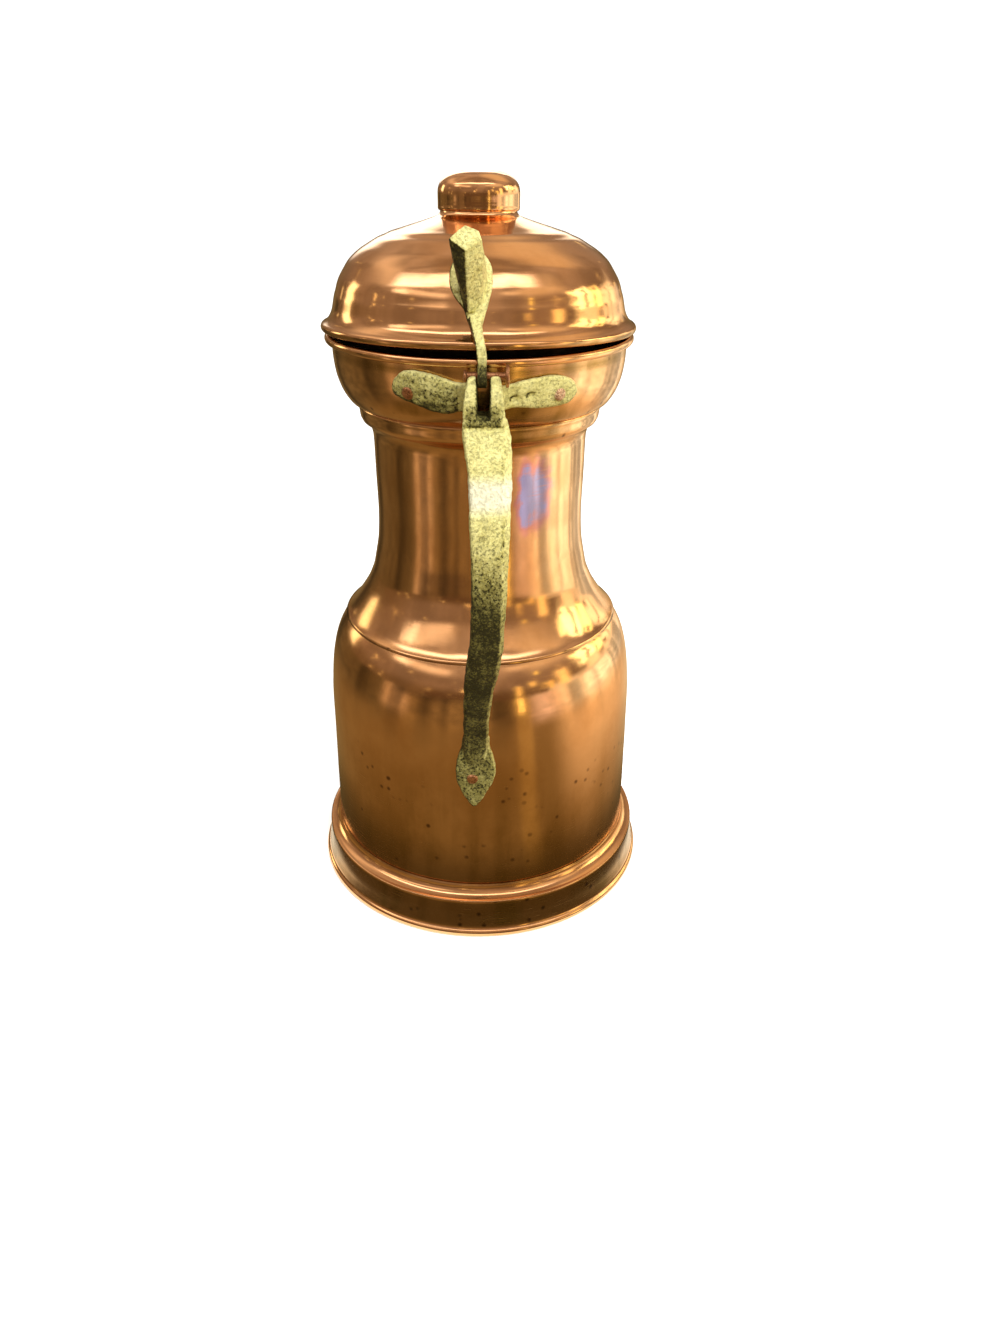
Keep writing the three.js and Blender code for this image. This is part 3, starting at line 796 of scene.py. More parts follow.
@dataclass(frozen=True)
class WroughtFinish(Finish):
    """Hammered metal; it starts as the copper of the rivets and the pin."""

    name: str = "rivet_copper"
    face: Triple = (0.80, 0.42, 0.25)
    grime: Triple = (0.42, 0.19, 0.10)
    pit: Triple = (0.10, 0.05, 0.025)
    pitted: float = 0.7
    roughness: float = 0.30
    uneven: float = 0.15
    metallic: float = 1.0
    relief: float = 0.5

    def look(self, hand: Nodes, coords: Wire) -> dict[str, Value]:
        """Lays out the nodes.

        Args:
            hand: The material's nodes.
            coords: Coordinates in metres.

        Returns:
            The shader's inputs.
        """
        skin = Effect.CASTING.on(hand, coords)
        colour = hand.mix(skin["Grime"], self.face, self.grime)
        colour = hand.mix(skin["Pits"] * self.pitted, colour, self.pit)
        rough = skin["Grime"] * self.uneven + self.roughness
        normal = hand.bump(skin["Height"], self.relief, 0.0002)
        return {"Base Color": colour, "Roughness": rough, "Metallic": self.metallic, "Normal": normal}


class Finishes:
    """Every finish of the jug, made once."""

    def __init__(self) -> None:
        """Makes the materials."""
        self.copper = CopperFinish().make()
        self.lid_copper = CopperFinish("lid_copper", roughness=0.085, seed=0.31).make()
        self.tin = TinFinish().make()
        self.brass = BrassFinish().make()
        self.rivet = WroughtFinish().make()
        # A paler, less metallic copy of the rivet copper: painted light for the rivet on the lit right wing.
        self.lit_rivet = WroughtFinish("pale_rivet_copper", face=(0.98, 0.76, 0.46), metallic=0.4).make()
        self.iron = WroughtFinish(
            "edge_wire_iron", face=(0.12, 0.11, 0.10), grime=(0.17, 0.07, 0.03), pitted=0.0, roughness=0.45,
            uneven=0.3, metallic=0.9, relief=0.6,
        ).make()


def hand_in(obj: Object, body: Body, materials: Sequence[Material], node: str) -> None:
    """Dresses a piece, ties it to its body and hides the CAD node that it stands for.

    Args:
        obj: The piece.
        body: The body that it rides on.
        materials: Its materials, in the order of its faces' numbers.
        node: The CAD node that it replaces.
    """
    for material in materials:
        obj.data.materials.append(material)
    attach(obj, body.value)
    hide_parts(node)
    log.info("%s: %d faces, on %s", obj.name, len(obj.data.polygons), body.value)


def dress(material: Material, *names: str) -> None:
    """Gives a material to CAD nodes that stay."""
    for name in names:
        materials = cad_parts[name].data.materials
        materials.clear()
        materials.append(material)
        log.info("%s: dressed", name)


def shell(name: str, line: Line, thickness: float, look_at: float, seed: float, wobble: float = 0.22) -> Object:
    """Spins a slightly uneven copper shell with its sheet thickness.

    Args:
        name: Name of the object.
        line: The outside's profile as radius and height.
        thickness: Thickness of the sheet.
        look_at: A height where the outside faces away from the axis.
        seed: Where its unevenness is read.
        wobble: Depth of the unevenness.

    Returns:
        The object.
    """
    bm = spun(line, look_at - 4.0, look_at + 4.0, lambda middle: Vector((middle.x, middle.y, 0.0)))
    roughen(bm, ((60.0, wobble), (24.0, wobble * 0.35)), seed)
    obj = new_object(name, bm)
    thicken(obj, thickness, even=True)
    return obj


# Body of the jug


@dataclass
class Jug:
    """The five copper shells of the jug's body, its wires and its base."""

    finishes: Finishes
    sheet: float = 0.8
    foot_bead: float = 2.2
    foot_radius: float = 82.5
    fillet: float = 5.6
    ledge: Pair = (79.4, 19.4)
    skirt: Line = ((81.0, 5.2), (80.75, 6.2), (80.3, 8.6), (79.9, 13.0), (79.55, 18.0))
    wall: Line = (
        (73.8, 25.3), (73.8, 36), (73.75, 48), (73.5, 62), (73.25, 80), (73, 96), (72.6, 102.5),
        (71.9, 110.5), (71.1, 116), (69.9, 121.6), (68.6, 125.8), (67.2, 129), (65.4, 132.2), (63.4, 135),
        (61.3, 137.2), (59.5, 139.4),
    )
    neck: Line = (
        (64, 136), (62.9, 136.8), (61.4, 138.2), (59.4, 140.6), (55.7, 146), (53.3, 150), (51.5, 154),
        (50, 158), (48.5, 165), (47.4, 171), (46.8, 177), (46.4, 186), (46.4, 192), (46.6, 202),
        (46.7, 212), (46.8, 218), (47.1, 221.5), (48, 224.4), (49.6, 226.3), (51.3, 227.4),
        (52, 228.8), (52.3, 230.6), (52.6, 232.6), (53.2, 234.2),
    )
    bowl: Line = (
        (50.7, 228.6), (51.3, 230.6), (51.6, 232.6), (52.6, 234.2), (54.2, 235.1), (55.8, 236), (57.2, 237.7),
        (58.5, 239.7), (59.7, 242.2), (61.1, 246.5), (61.9, 251), (62.3, 256), (62.3, 258.6),
    )
    rim_wire: Pair = (63.35, 261.3)
    rim_bead: float = 1.85
    rim_start: float = 259.6
    stain_middle: Pair = (22.8, 203.5)
    stain_half: Pair = (7.8, 16.5)

    def build(self) -> None:
        """Builds and dresses every shell of the body, and dresses the wires in all rolled edges."""
        self._foot()
        self._base()
        self._wall()
        self._neck()
        self._bowl()
        dress(self.finishes.iron, "foot_wire", "mouth_wire", "lid_wire")

    def _finish(self, obj: Object, tone: Shade, node: str) -> None:
        """Paints shade on a shell and hands it in for its CAD node."""
        paint(obj, "tone", tone)
        copper, tin = self.finishes.copper, self.finishes.tin
        hand_in(obj, Body.JUG, (copper, tin, copper) if node == "mouth_bowl" else (copper, tin), node)

    def _foot(self) -> None:
        """Builds the foot: wired bead, flare, skirt, sharp edge, hollow ledge and collar."""
        collar = self.ledge[0] - self.fillet - self.sheet - GAP
        corner = self.ledge[1] + self.fillet
        line = arc((self.foot_radius - self.foot_bead, self.foot_bead), self.foot_bead, -215, 62, 26)
        line += [*smooth_line(self.skirt, 1.0), (79.5, 18.8), (79.25, 19.3)]
        line += arc((self.ledge[0], corner), self.fillet, 268, 186, 14)
        line += [(collar, corner + 0.3), (collar, corner + 4.0), (collar, corner + 8.0)]

        def tone(place: Vector, normal: Vector) -> float:
            """Paints shade on the skirt under the sharp edge, standing in for the dark floor that it mirrors, and in
            the crease at the wall.
            """
            skirt = window(place.z, 4.9, 6.4, 18.6, 19.6)
            return max(0.85 * skirt, 0.75 * ease(place.z, 23.4, 24.9), 0.08)

        self._finish(shell("foot", line, self.sheet, 13.0, 3.1, 0.12), tone, "foot_ring")

    def _base(self) -> None:
        """Builds the flat base with its upturned rim."""
        rim = self.foot_radius - 2 * self.foot_bead - GAP
        line = smooth_line([(rim, 11.8), (rim, 3.9)], 2.0) + arc((rim - 2.2, 3.8), 2.2, 0, -90, 6)
        line += [*smooth_line([(rim - 4.0, 1.6), (30.0, 1.6), (1.2, 1.6)], 4.0), (0.0, 1.6)]
        obj = new_object("base", spun(line, -1.0, 2.0, lambda middle: Vector((0.0, 0.0, -1.0)), 96))
        thicken(obj, 1.0, even=False)
        # The base plate gets an even painted shade.
        self._finish(obj, lambda place, normal: 0.55, "base_plate")

    def _wall(self) -> None:
        """Builds the wall and the shoulder."""

        def tone(place: Vector, normal: Vector) -> float:
            """Paints shade on the wall towards its foot, standing in for the dark floor that it mirrors, less on the
            lit right, and in the creases under the neck and at the foot.
            """
            low = fade(place.z, 30.0, 118.0) * (1.0 - 0.35 * ease(place.x, 15.0, 60.0))
            return max(0.10 + 0.62 * low, 0.9 * ease(place.z, 134.4, 136.2), 0.9 * fade(place.z, 25.3, 27.5))

        self._finish(shell("wall", smooth_line(self.wall), self.sheet, 60.0, 7.3), tone, "lower_body")

    def _neck(self) -> None:
        """Builds the neck with its flared foot and the socket of the bowl."""
        obj = shell("neck", smooth_line(self.neck), self.sheet, 200.0, 11.9)

        def tone(place: Vector, normal: Vector) -> float:
            """Paints shade in the crease under the socket, at the edges, softly on the left of the neck and on the
            right of the strap just under the socket.
            """
            crease = window(place.z, 221.5, 225.0, 226.2, 227.6)
            left = 0.10 * ease(-place.x, -10.0, 40.0) * ease(-place.y, -10.0, 30.0)
            right = window(place.x, 2.0, 12.0, 30.0, 42.0) * hinge_side(place)
            edges = max(0.7 * fade(place.z, 135.8, 137.0), 0.5 * ease(place.z, 233.6, 234.4))
            return max(0.12 + left, 0.55 * crease, edges, 0.80 * right * ease(place.z, 223.0, 227.0))

        def stain(place: Vector, normal: Vector) -> float:
            """Marks the violet heat stain to the right of the strap."""
            across = (place.x - self.stain_middle[0]) / self.stain_half[0] + 0.25 * noise.noise(place / 4.1)
            up = (place.z - self.stain_middle[1]) / self.stain_half[1] + 0.25 * noise.noise(place / 3.3)
            return fade((across ** 4 + up ** 4) ** 0.25, 0.30, 1.25) * ease(-place.y, 10.0, 25.0)

        paint(obj, "stain", stain)
        self._finish(obj, tone, "neck_shell")

    def _bowl(self) -> None:
        """Builds the mouth bowl with its wired rim, whose inside is copper too."""
        line = smooth_line(self.bowl)[:-1] + arc(self.rim_wire, self.rim_bead - self.sheet, 180, -100, 20)
        obj = shell("bowl", line, self.sheet, 250.0, 17.7, 0.16)
        for face in obj.data.polygons:
            face.material_index = int(face.center.z > self.rim_start * MM)

        def tone(place: Vector, normal: Vector) -> float:
            """Paints shade on the bowl's foot, in the hollow under its rim, low on its right, under the wings and near
            the hinge.
            """
            near, front = abs(place.x), hinge_side(place)
            bare = fade(place.z, 259.2, 259.8)
            under = window(place.z, 253.5, 257.0, 258.8, 259.6)
            right = window(place.x, 4.0, 14.0, 34.0, 44.0) * front
            low = (0.34 + 0.56 * right) * fade(place.z, 238.0, 250.0)
            wings = fade(near, 30.0, 38.0) * front * fade(abs(place.z - 242.0), 1.6, 4.0)
            hinge = fade(near, 12.0, 34.0) * front * bare
            foot = 0.7 * fade(place.z, 234.6, 238.5)
            return max(0.14 * bare, foot, 0.80 * under, low, 0.85 * wings, 0.42 * hinge)

        self._finish(obj, tone, "mouth_bowl")


# Lid


@dataclass
class Lid:
    """The lid's dome and knob, built in the lid's own frame and then laid on the rim."""

    finishes: Finishes
    sheet: float = 0.7
    wire: Pair = (64.3, -0.05)
    bead: float = 1.75
    tilt: float = -1.45
    roll: float = 0.2
    shift: float = -0.3
    height: float = 266.602
    flange: Line = (
        (63.9, 2.1), (62.8, 3.2), (62.05, 4.3), (61.2, 6.1), (60.7, 7.9), (60.35, 9.4), (59.9, 11.2), (59.2, 13.1),
        (58.5, 15.5), (57.5, 17.8), (56.3, 19.8), (55.1, 21.7), (53.35, 24.2), (51.2, 26.3), (48.55, 28.4),
        (44.8, 30.7), (41.3, 32.7), (38.5, 33.8), (35.7, 35), (32.3, 36), (28.65, 37.1), (24.7, 38.25),
        (21.2, 39.3), (18.4, 40.2),
    )
    knob_radius: float = 16.6
    knob_foot: float = 41.6
    knob: Line = (  # inwards from the knob's radius, and up from its foot
        (0, 2.2), (0, 5), (0, 8), (0.3, 9.8), (1, 11.3), (2.2, 12.6), (4, 13.9), (6.6, 14.9),
        (10, 15.5), (15.8, 15.7),
    )
    chimney_top: float = 48.0

    @property
    def matrix(self) -> Matrix:
        """The lid's place on the rim, in metres."""
        turn = Matrix.Rotation(math.radians(self.tilt), 4, "X") @ Matrix.Rotation(math.radians(self.roll), 4, "Y")
        return Matrix.Translation((self.shift * MM, 0.0, self.height * MM)) @ turn

    def build(self) -> None:
        """Builds and dresses the dome and the knob."""
        self._dome()
        self._knob()

    def _finish(self, obj: Object, tone: Shade, node: str) -> None:
        """Paints shade on a shell, lays it on the rim and hands it in for its CAD node."""
        paint(obj, "tone", tone)
        obj.data.transform(self.matrix)
        hand_in(obj, Body.LID, (self.finishes.lid_copper, self.finishes.tin), node)

    def _dome(self) -> None:
        """Builds the dome with its wired edge, hollow flange and chimney; use has bent its edge down."""
        chimney = self.knob_radius - self.sheet - GAP
        line = arc(self.wire, self.bead, -200, 48, 24) + smooth_line([(64.9, 1.55), *self.flange])
        line += smooth_line([(chimney + 0.9, 40.9), (chimney + 0.1, 42.0), (chimney, self.chimney_top)], 1.0)
        obj = shell("dome", line, self.sheet, 12.0, 23.3, 0.20)
        for vert in obj.data.vertices:
            place = vert.co / MM
            reach = math.hypot(place.x, place.y) or 1.0
            side, front, back = abs(place.x) / reach, max(-place.y, 0.0) / reach, max(place.y, 0.0) / reach
            drop = 1.2 * side ** 2 + 0.5 * front ** 2 - 0.25 * back ** 2
            vert.co.z -= drop * fade(place.z, 2.0, 14.0) * MM

        def tone(place: Vector, normal: Vector) -> float:
            """Paints shade on the underside of the bead and in the groove over it."""
            return max(0.06, 0.7 * fade(place.z, -1.3, -0.2), 0.35 * fade(abs(place.z - 1.9), 0.0, 0.9))

        self._finish(obj, tone, "lid_dome")

    def _knob(self) -> None:
        """Builds the cap over the chimney, with painted shade at its foot."""
        foot, radius = self.knob_foot, self.knob_radius
        line = arc((radius - 1.15, foot + 2.1), 1.2, -90, -8, 6)
        line += smooth_line([(radius - inward, foot + up) for inward, up in self.knob], 0.9)
        line += [(0.0, foot + self.knob[-1][1])]
        obj = shell("knob", line, self.sheet, foot + 5.0, 29.1, 0.10)
        self._finish(obj, lambda place, normal: 0.06 + 0.3 * fade(place.z, foot, foot + 1.4), "knob_cap")


# Castings


@dataclass
class Handle:
    """The brass casting of clevis, wings, strap and leaf."""

    finishes: Finishes
    jug: Jug
    slot: Pair = (-1.15, 3.75)
    sides: Pair = (-6.6, 9.3)
    ear: Line = (
        (62.6, 255.9), (66, 257.6), (69, 258.9), (71.4, 259.3), (73.4, 258.2), (76.9, 250.6), (77.8, 246),
        (78.2, 240.5), (75, 236.8), (61, 237.4),
    )
    block_top: float = 243.5
    left_wing: Line = (
        (-33.6, 250.2), (-33, 253.2), (-29.6, 256.5), (-25.5, 257.5), (-21, 257.5), (-14.7, 256),
        (-8.5, 254), (-3, 253.4), (-3, 243.6), (-7.5, 243), (-12, 241.9), (-17, 242.3),
        (-23.1, 244.2), (-29.4, 246.4), (-32.8, 248.2),
    )
    right_wing: Line = (
        (6, 252), (9.6, 252.9), (15, 254.4), (22.2, 255.6), (28.4, 255.8), (33.8, 254.2), (37.2, 251.2),
        (37.7, 248.4), (35.2, 245.4), (30.5, 244), (23, 243.6), (13.3, 244.4), (6, 244),
    )
    wing_thickness: float = 2.9
    strap: Line = (
        (74.5, 244.5), (80, 238.4), (93, 222), (103, 202), (104.4, 183), (98.4, 157.5), (87.3, 128.5),
        (78.7, 106.5), (76.7, 98.5), (75.3, 91),
    )
    widths: Sequence[tuple[float, float, float, float]] = (  # height, then left, front edge and right
        (91, -4.2, -0.6, 0), (97, -7, 1.6, 2.4), (104.5, -7.7, 2.4, 3.2), (118, -7.5, 2.4, 3.5),
        (132.8, -7.1, 3.5, 5), (148.5, -6.2, 6, 7.9), (161.8, -4.4, 7.2, 9.2), (176, -3.8, 7.7, 9.7),
        (190, -3.5, 7.9, 10.1), (200.3, -3.7, 8.1, 10.7), (211.4, -4.2, 8.4, 11.3), (218.7, -4.2, 8.2, 11.3),
        (225.9, -4.6, 8, 11.9), (232.8, -5.5, 8.6, 12), (239.6, -6.6, 9.1, 11.8), (245, -6.4, 9.2, 10.4),
    )
    depths: Line = (
        (91, 1.6), (97, 2.4), (106, 3.2), (128, 4), (160, 4.3), (200, 4.5), (245, 4.8),
    )
    leaf: Line = (
        (-7.2, 106.5), (-8.4, 101), (-10.2, 95.5), (-11, 90), (-10.6, 84.5), (-8.4, 78), (-5.4, 72.8),
        (-3, 70.3), (-0.6, 72.8), (2.6, 78.2), (5.4, 84), (6.5, 89.5), (5.6, 95.5), (3.8, 101), (3, 106.5),
    )
    leaf_thickness: float = 2.4
    waves: Line = ((9.0, 0.30), (3.2, 0.24), (1.6, 0.12))
    crease: float = 240.6
    pits: Line = ((13.2, 247.9), (19.4, 249.0))
    # Height of the band of painted highlight on the strap.
    gleam: float = 220.0
    # Painted shade by height: the strap darkens below its highlight, most where it turns down and under.
    dirt_and_shade: Line = (
        (70, 0.64), (96, 0.68), (105, 0.78), (112, 0.88), (128, 0.96), (150, 1), (164, 1),
        (173, 0.92), (182, 0.76), (191, 0.58), (200, 0.40), (209, 0.16), (216, 0), (245, 0.06),
    )

    def build(self) -> None:
        """Casts the handle, bores it for the pin and dresses it."""
        leaf = fitted_plate(self.leaf, self.leaf_thickness, 0.8, radius_of(self.jug.wall))
        skin = melt("handle_lumps", [*self._clevis(), *self._wings(), self._strap(), leaf], 0.55, 2)
        roughen(skin, self.waves, 5.7)
        self._press(skin)
        obj = new_object("handle_casting", skin)
        bore(obj, drum(BORE, self.sides[0] - 2, self.sides[1] + 2, *PIN))
        # Paints shade on the casting, and a highlight in a band across the strap.
        paint(obj, "tone", self._painted_shade)
        paint(obj, "gleam", lambda place, normal: fade(abs(place.z - self.gleam), 2.0, 8.0))
        hand_in(obj, Body.JUG, (self.finishes.brass,), "handle")

    def _clevis(self) -> list[BMesh]:
        """Makes the two tapered ears and the block below the slot.

        Returns:
            The three solids.
        """
        solids = []
        for inner, outer, lean in ((self.slot[0], self.sides[0], 2.4), (self.slot[1], self.sides[1], -1.7)):
            ear = block(self.ear, min(inner, outer), max(inner, outer))
            for vert in ear.verts:
                if abs(vert.co.x / MM - outer) < 0.1:
                    vert.co.x += lean * ease(vert.co.z / MM, 248.0, 259.0) * MM
            bevelled(ear, ear.edges[:], 0.8, 2)
            solids.append(ear)
        low = [(78.0, self.block_top - 0.4), *self.ear[-3:], (61.0, self.block_top)]
        return [*solids, block(low, self.sides[0] + 1, self.sides[1] - 1)]

    def _wings(self) -> list[BMesh]:
        """Makes the two wings on the bowl."""
        bowl = radius_of(self.jug.bowl)
        outlines = ((self.left_wing, 0.9), (self.right_wing, 0.8))
        return [fitted_plate(outline, self.wing_thickness, edge, bowl) for outline, edge in outlines]

    def _strap(self) -> BMesh:
        """Draws the strap from the clevis down to the leaf.

        Returns:
            The closed bar.
        """
        line = smooth_line(self.strap, 3.0)
        stations = []
        for i, (out, height) in enumerate(line):
            along = heading(line, i)
            inward = Vector((along.y, -along.x))
            if inward.x > 0:
                inward.negate()
            left, front, right = (between(self.widths, height, column) for column in (1, 2, 3))
            depth = between(self.depths, height)
            ring = (
                (left + 0.7, 0.0), ((left + front) / 2, -0.25), (front, 0.0), (right, 0.55 * depth),
                (right - 0.6, depth), (left + 0.6, depth), (left, 0.45 * depth),
            )
            stations.append([Vector((x, -(out + inward.x * deep), height + inward.y * deep)) for x, deep in ring])
        return bar(stations)

    def _press(self, skin: BMesh) -> None:
        """Presses the ragged crease between clevis and strap, and the right wing's pits.

        Args:
            skin: The casting's skin.
        """
        skin.normal_update()
        for vert in skin.verts:
            place = vert.co / MM
            if place.z > 244.0 and place.x > 9.0:
                vert.co -= vert.normal * 0.7 * self._pit(place)[0] * MM
            if -place.y > 74.5 and 237.0 < place.z < 244.0:
                middle = self.crease + 1.3 * noise.noise(Vector((place.x / 2.7, 4.1, 0.0)))
                vert.co -= vert.normal * 0.95 * math.exp(-((place.z - middle) / 0.65) ** 2) * MM

    def _pit(self, place: Vector) -> Pair:
        """Reads the right wing's pits.

        Args:
            place: A vertex's place.

        Returns:
            Their depth there and the darkening on their upper left rims, from 0 to 1.
        """
        deepest, rim_dark = 0.0, 0.0
        for x, z in self.pits:
            across, up = (place.x - x) / 1.9, (place.z - z) / 1.4
            depth = math.exp(-((across * across + up * up) ** 2))
            deepest = max(deepest, depth)
            rim_dark = max(rim_dark, 3.4 * depth * (1.0 - depth) * ease(up - across, -0.5, 0.8))
        return deepest, rim_dark

    def _painted_shade(self, place: Vector, normal: Vector) -> float:
        """Says how much painted shade the casting gets: in the slot and the block below it, on the wings, on faces
        turned down or left, down the strap below its highlight, and along a ragged line on the strap's front edge.

        Args:
            place: A vertex's place.
            normal: Its normal.

        Returns:
            Painted shade from 0 to 1, or a little more.
        """
        arris = fade(abs(place.x - between(self.widths, place.z, 2)), 0.3, 0.9) * (0.6 + noise.noise(place / 2.1))
        arris *= 0.6 * window(place.z, 120.0, 140.0, 228.0, 238.0) * ease(-normal.y, 0.2, 0.5)
        under = (0.10 if place.z > 241.0 and abs(place.x) > 9.0 else 0.45) * ease(-normal.z, 0.1, 0.8)
        clevis = wing = 0.0
        if place.z > 241.0 and -9.5 < place.x < 11.0:
            off = abs(place.x - sum(self.slot) / 2)
            clevis = 0.95 if off < 2.7 and -place.y < 77.6 else 0.70 * fade(place.z, 246.0, 251.5) * fade(off, 5.2, 8.2)
        if place.z > 240.8 and (place.x < -8.0 or place.x > 10.5):
            all_over, below = (0.34, 0.45) if place.x < 0.0 else (0.06, 0.14)
            wing = all_over + below * fade(normal.z, -0.45, 0.05) - 0.3 * ease(normal.z, 0.3, 0.8)
            if place.x > 0.0:
                wing = max(wing, self._pit(place)[1])
        low = between(self.dirt_and_shade, place.z) * (1.0 - 0.45 * ease(normal.x, 0.2, 0.6))
        return max(low, clevis, wing, arris) + under + 0.2 * ease(-normal.x, 0.5, 1.0)


@dataclass
class HingeArm:
    """The brass casting of knuckle, stem, pad and thumb-piece, in the lid's frame."""

    finishes: Finishes
    lid: Lid
    knuckle: Pair = (-0.8, 2.6)
    knuckle_radius: float = 4.1
    pad: Line = (
        (-3.2, 31), (-7.6, 29), (-10.2, 25), (-10.8, 20.2), (-9, 15.8), (-5.6, 11.6), (-4, 7.6),
        (-2.2, 5), (0.8, 5.2), (2, 8.3), (3.9, 14.6), (5.2, 21.2), (4.3, 26.4), (1.2, 29.8),
    )
    pad_thickness: float = 2.2
    stem: Sequence[tuple[float, float, float, float]] = (  # out and up from the pin, sideways, and width
        (0, 0, 0, 3.4), (0.3, 5, 0, 3.4), (-0.4, 10, -0.6, 3.5), (-3.2, 14.6, -1.7, 3.9),
        (-7.6, 19, -2.4, 4.8),
    )
    stem_thickness: float = 3.6
    thumb: Sequence[Triple] = (
        (-5.2, 60.95, 12.4), (1.6, 60.95, 12.4), (-7.2, 57.95, 20), (3.4, 57.95, 20), (-3.8, 64.15, 10.2),
        (-4.6, 74.75, 32.3), (-10.4, 70.95, 35.8), (1.2, 71.35, 35.8), (-4.8, 66.95, 39.9), (0.1, 67.95, 38.2),
        (-9.2, 67.55, 28.8), (0.4, 67.75, 28.6), (-8.2, 63.35, 29.4), (-1.4, 63.35, 29.4),
    )
    waves: Line = ((7.0, 0.22), (2.6, 0.13), (1.2, 0.05))

    def build(self) -> None:
        """Casts the arm, bores it for the pin and dresses it."""
        place = self.lid.matrix
        centre = place.inverted() @ (Vector((sum(self.knuckle) / 2, -PIN[0], PIN[1])) * MM) / MM
        half = (self.knuckle[1] - self.knuckle[0]) / 2
        knuckle = drum(self.knuckle_radius, centre.x - half, centre.x + half, -centre.y, centre.z)
        pad = fitted_plate(self.pad, self.pad_thickness, 0.6, radius_of(self.lid.flange), 1.2)
        skin = melt("arm_lumps", [knuckle, self._stem(centre), pad, hull(self.thumb)], 0.38, 1)
        roughen(skin, self.waves, 13.3)
        obj = new_object("arm_casting", skin)
        bore(obj, drum(BORE, centre.x - 4, centre.x + 4, -centre.y, centre.z))
        paint(obj, "tone", self._painted_shade)
        obj.data.transform(place)
        hand_in(obj, Body.LID, (self.finishes.brass,), "hinge_arm")

    def _stem(self, centre: Vector) -> BMesh:
        """Draws the stem from the knuckle over the wired edge.

        Args:
            centre: The pin in the lid's frame.

        Returns:
            The closed bar.
        """
        stations = []
        for i, (out, up, drift, width) in enumerate(self.stem):
            along = heading(self.stem, i)
            inward = Vector((-along.y, along.x)) * (self.stem_thickness / 2)
            half = width / 2
            ring = ((-half, -1), (half * 0.7, -1), (half, -0.5), (half, 1), (-half, 1))
            stations.append([
                centre + Vector((drift + across, -(out + inward.x * deep), up + inward.y * deep))
                for across, deep in ring
            ])
        return bar(stations)

    def _painted_shade(self, place: Vector, normal: Vector) -> float:
        """Paints shade on the left side, the underside and the knuckle."""
        knuckle = 0.9 * fade(place.z, -7.5, -4.5) if -place.y > 66.0 else 0.0
        return max(0.95 * ease(-normal.x, 0.30, 0.65), 0.5 * ease(-normal.z, 0.1, 0.8), knuckle, 0.04)


# Rivets and pin


@dataclass
class Fasteners:
    """The copper rivets and the hinge pin."""

    finishes: Finishes
    pin_radius: float = 1.5
    head_radius: float = 4.2
    tail_radius: float = 2.2
    tail_cut: float = 2.1

    def build(self) -> None:
        """Builds the pin and the hammered rivets, and dresses the arm's flush rivets."""
        self._pin()
        self._rivet("wing_rivet_left", 31.0, self.finishes.rivet)
        # The right wing's rivet takes the lit copy.
        self._rivet("wing_rivet_right", 37.0, self.finishes.lit_rivet)
        self._rivet("tail_rivet", 41.0, self.finishes.rivet)
        dress(self.finishes.brass, "arm_rivet_left", "arm_rivet_right")

    def _pin(self) -> None:
        """Builds the pin with its flat head on the right and its small peened tail on the left."""
        lowest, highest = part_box("hinge_pin")
        left, right = lowest.x / MM + self.tail_cut, highest.x / MM
        shank = drum(self.pin_radius, left + 0.4, right - 0.4, *PIN, sides=24)
        head = drum(self.head_radius, right - 1.2, right, *PIN, sides=28)
        tail = drum(self.tail_radius, left, left + 1.1, *PIN, sides=20)
        skin = melt("pin_lumps", [shank, head, tail], 0.3, 1)
        roughen(skin, ((3.0, 0.18), (1.2, 0.08)), 19.0)
        hand_in(new_object("pin", skin), Body.JUG, (self.finishes.rivet,), "hinge_pin")

    def _rivet(self, node: str, seed: float, finish: Material) -> None:
        """Melts a rivet's solid into a hammered one.

        Args:
            node: The CAD node.
            seed: Where its unevenness is read.
            finish: Its material.
        """
        source = bmesh.new()
        source.from_mesh(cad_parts[node].data)
        bmesh.ops.remove_doubles(source, verts=source.verts, dist=SAME_SPOT)
        skin = melt(node + "_lumps", [source], 0.28, 3)
        roughen(skin, ((2.6, 0.22), (1.0, 0.08)), seed)
        hand_in(new_object(node + "_hammered", skin), Body.JUG, (finish,), node)


# Stage


@dataclass(frozen=True)
class Lobe:
    """A soft glowing sector of the table that the floor shows only to rays from the jug, round from the camera in
    degrees, and out from the jug in metres.
    """

    middle: float
    edge: float
    full: float
    near: float
    far: float
    colour: Triple
    strength: float = 1.0

    def share(self, hand: Nodes, bearing: Wire, distance: Wire) -> Wire:
        """Lays out the sector.

        Args:
            hand: The floor's nodes.
            bearing: The way from the jug, with length 1.
            distance: Distance from the jug.

        Returns:
            How much the sector covers, from 0 to 1.
        """
        angle = math.radians(self.middle)
        way = (math.sin(angle), -math.cos(angle), 0.0)
        turn = hand.node("VectorMath", {0: bearing, 1: way}, "Value", operation="DOT_PRODUCT")
        sector = hand.ramp(turn, math.cos(math.radians(self.edge)), math.cos(math.radians(self.full)))
        return sector * hand.ramp(distance, self.near, self.far) * self.strength


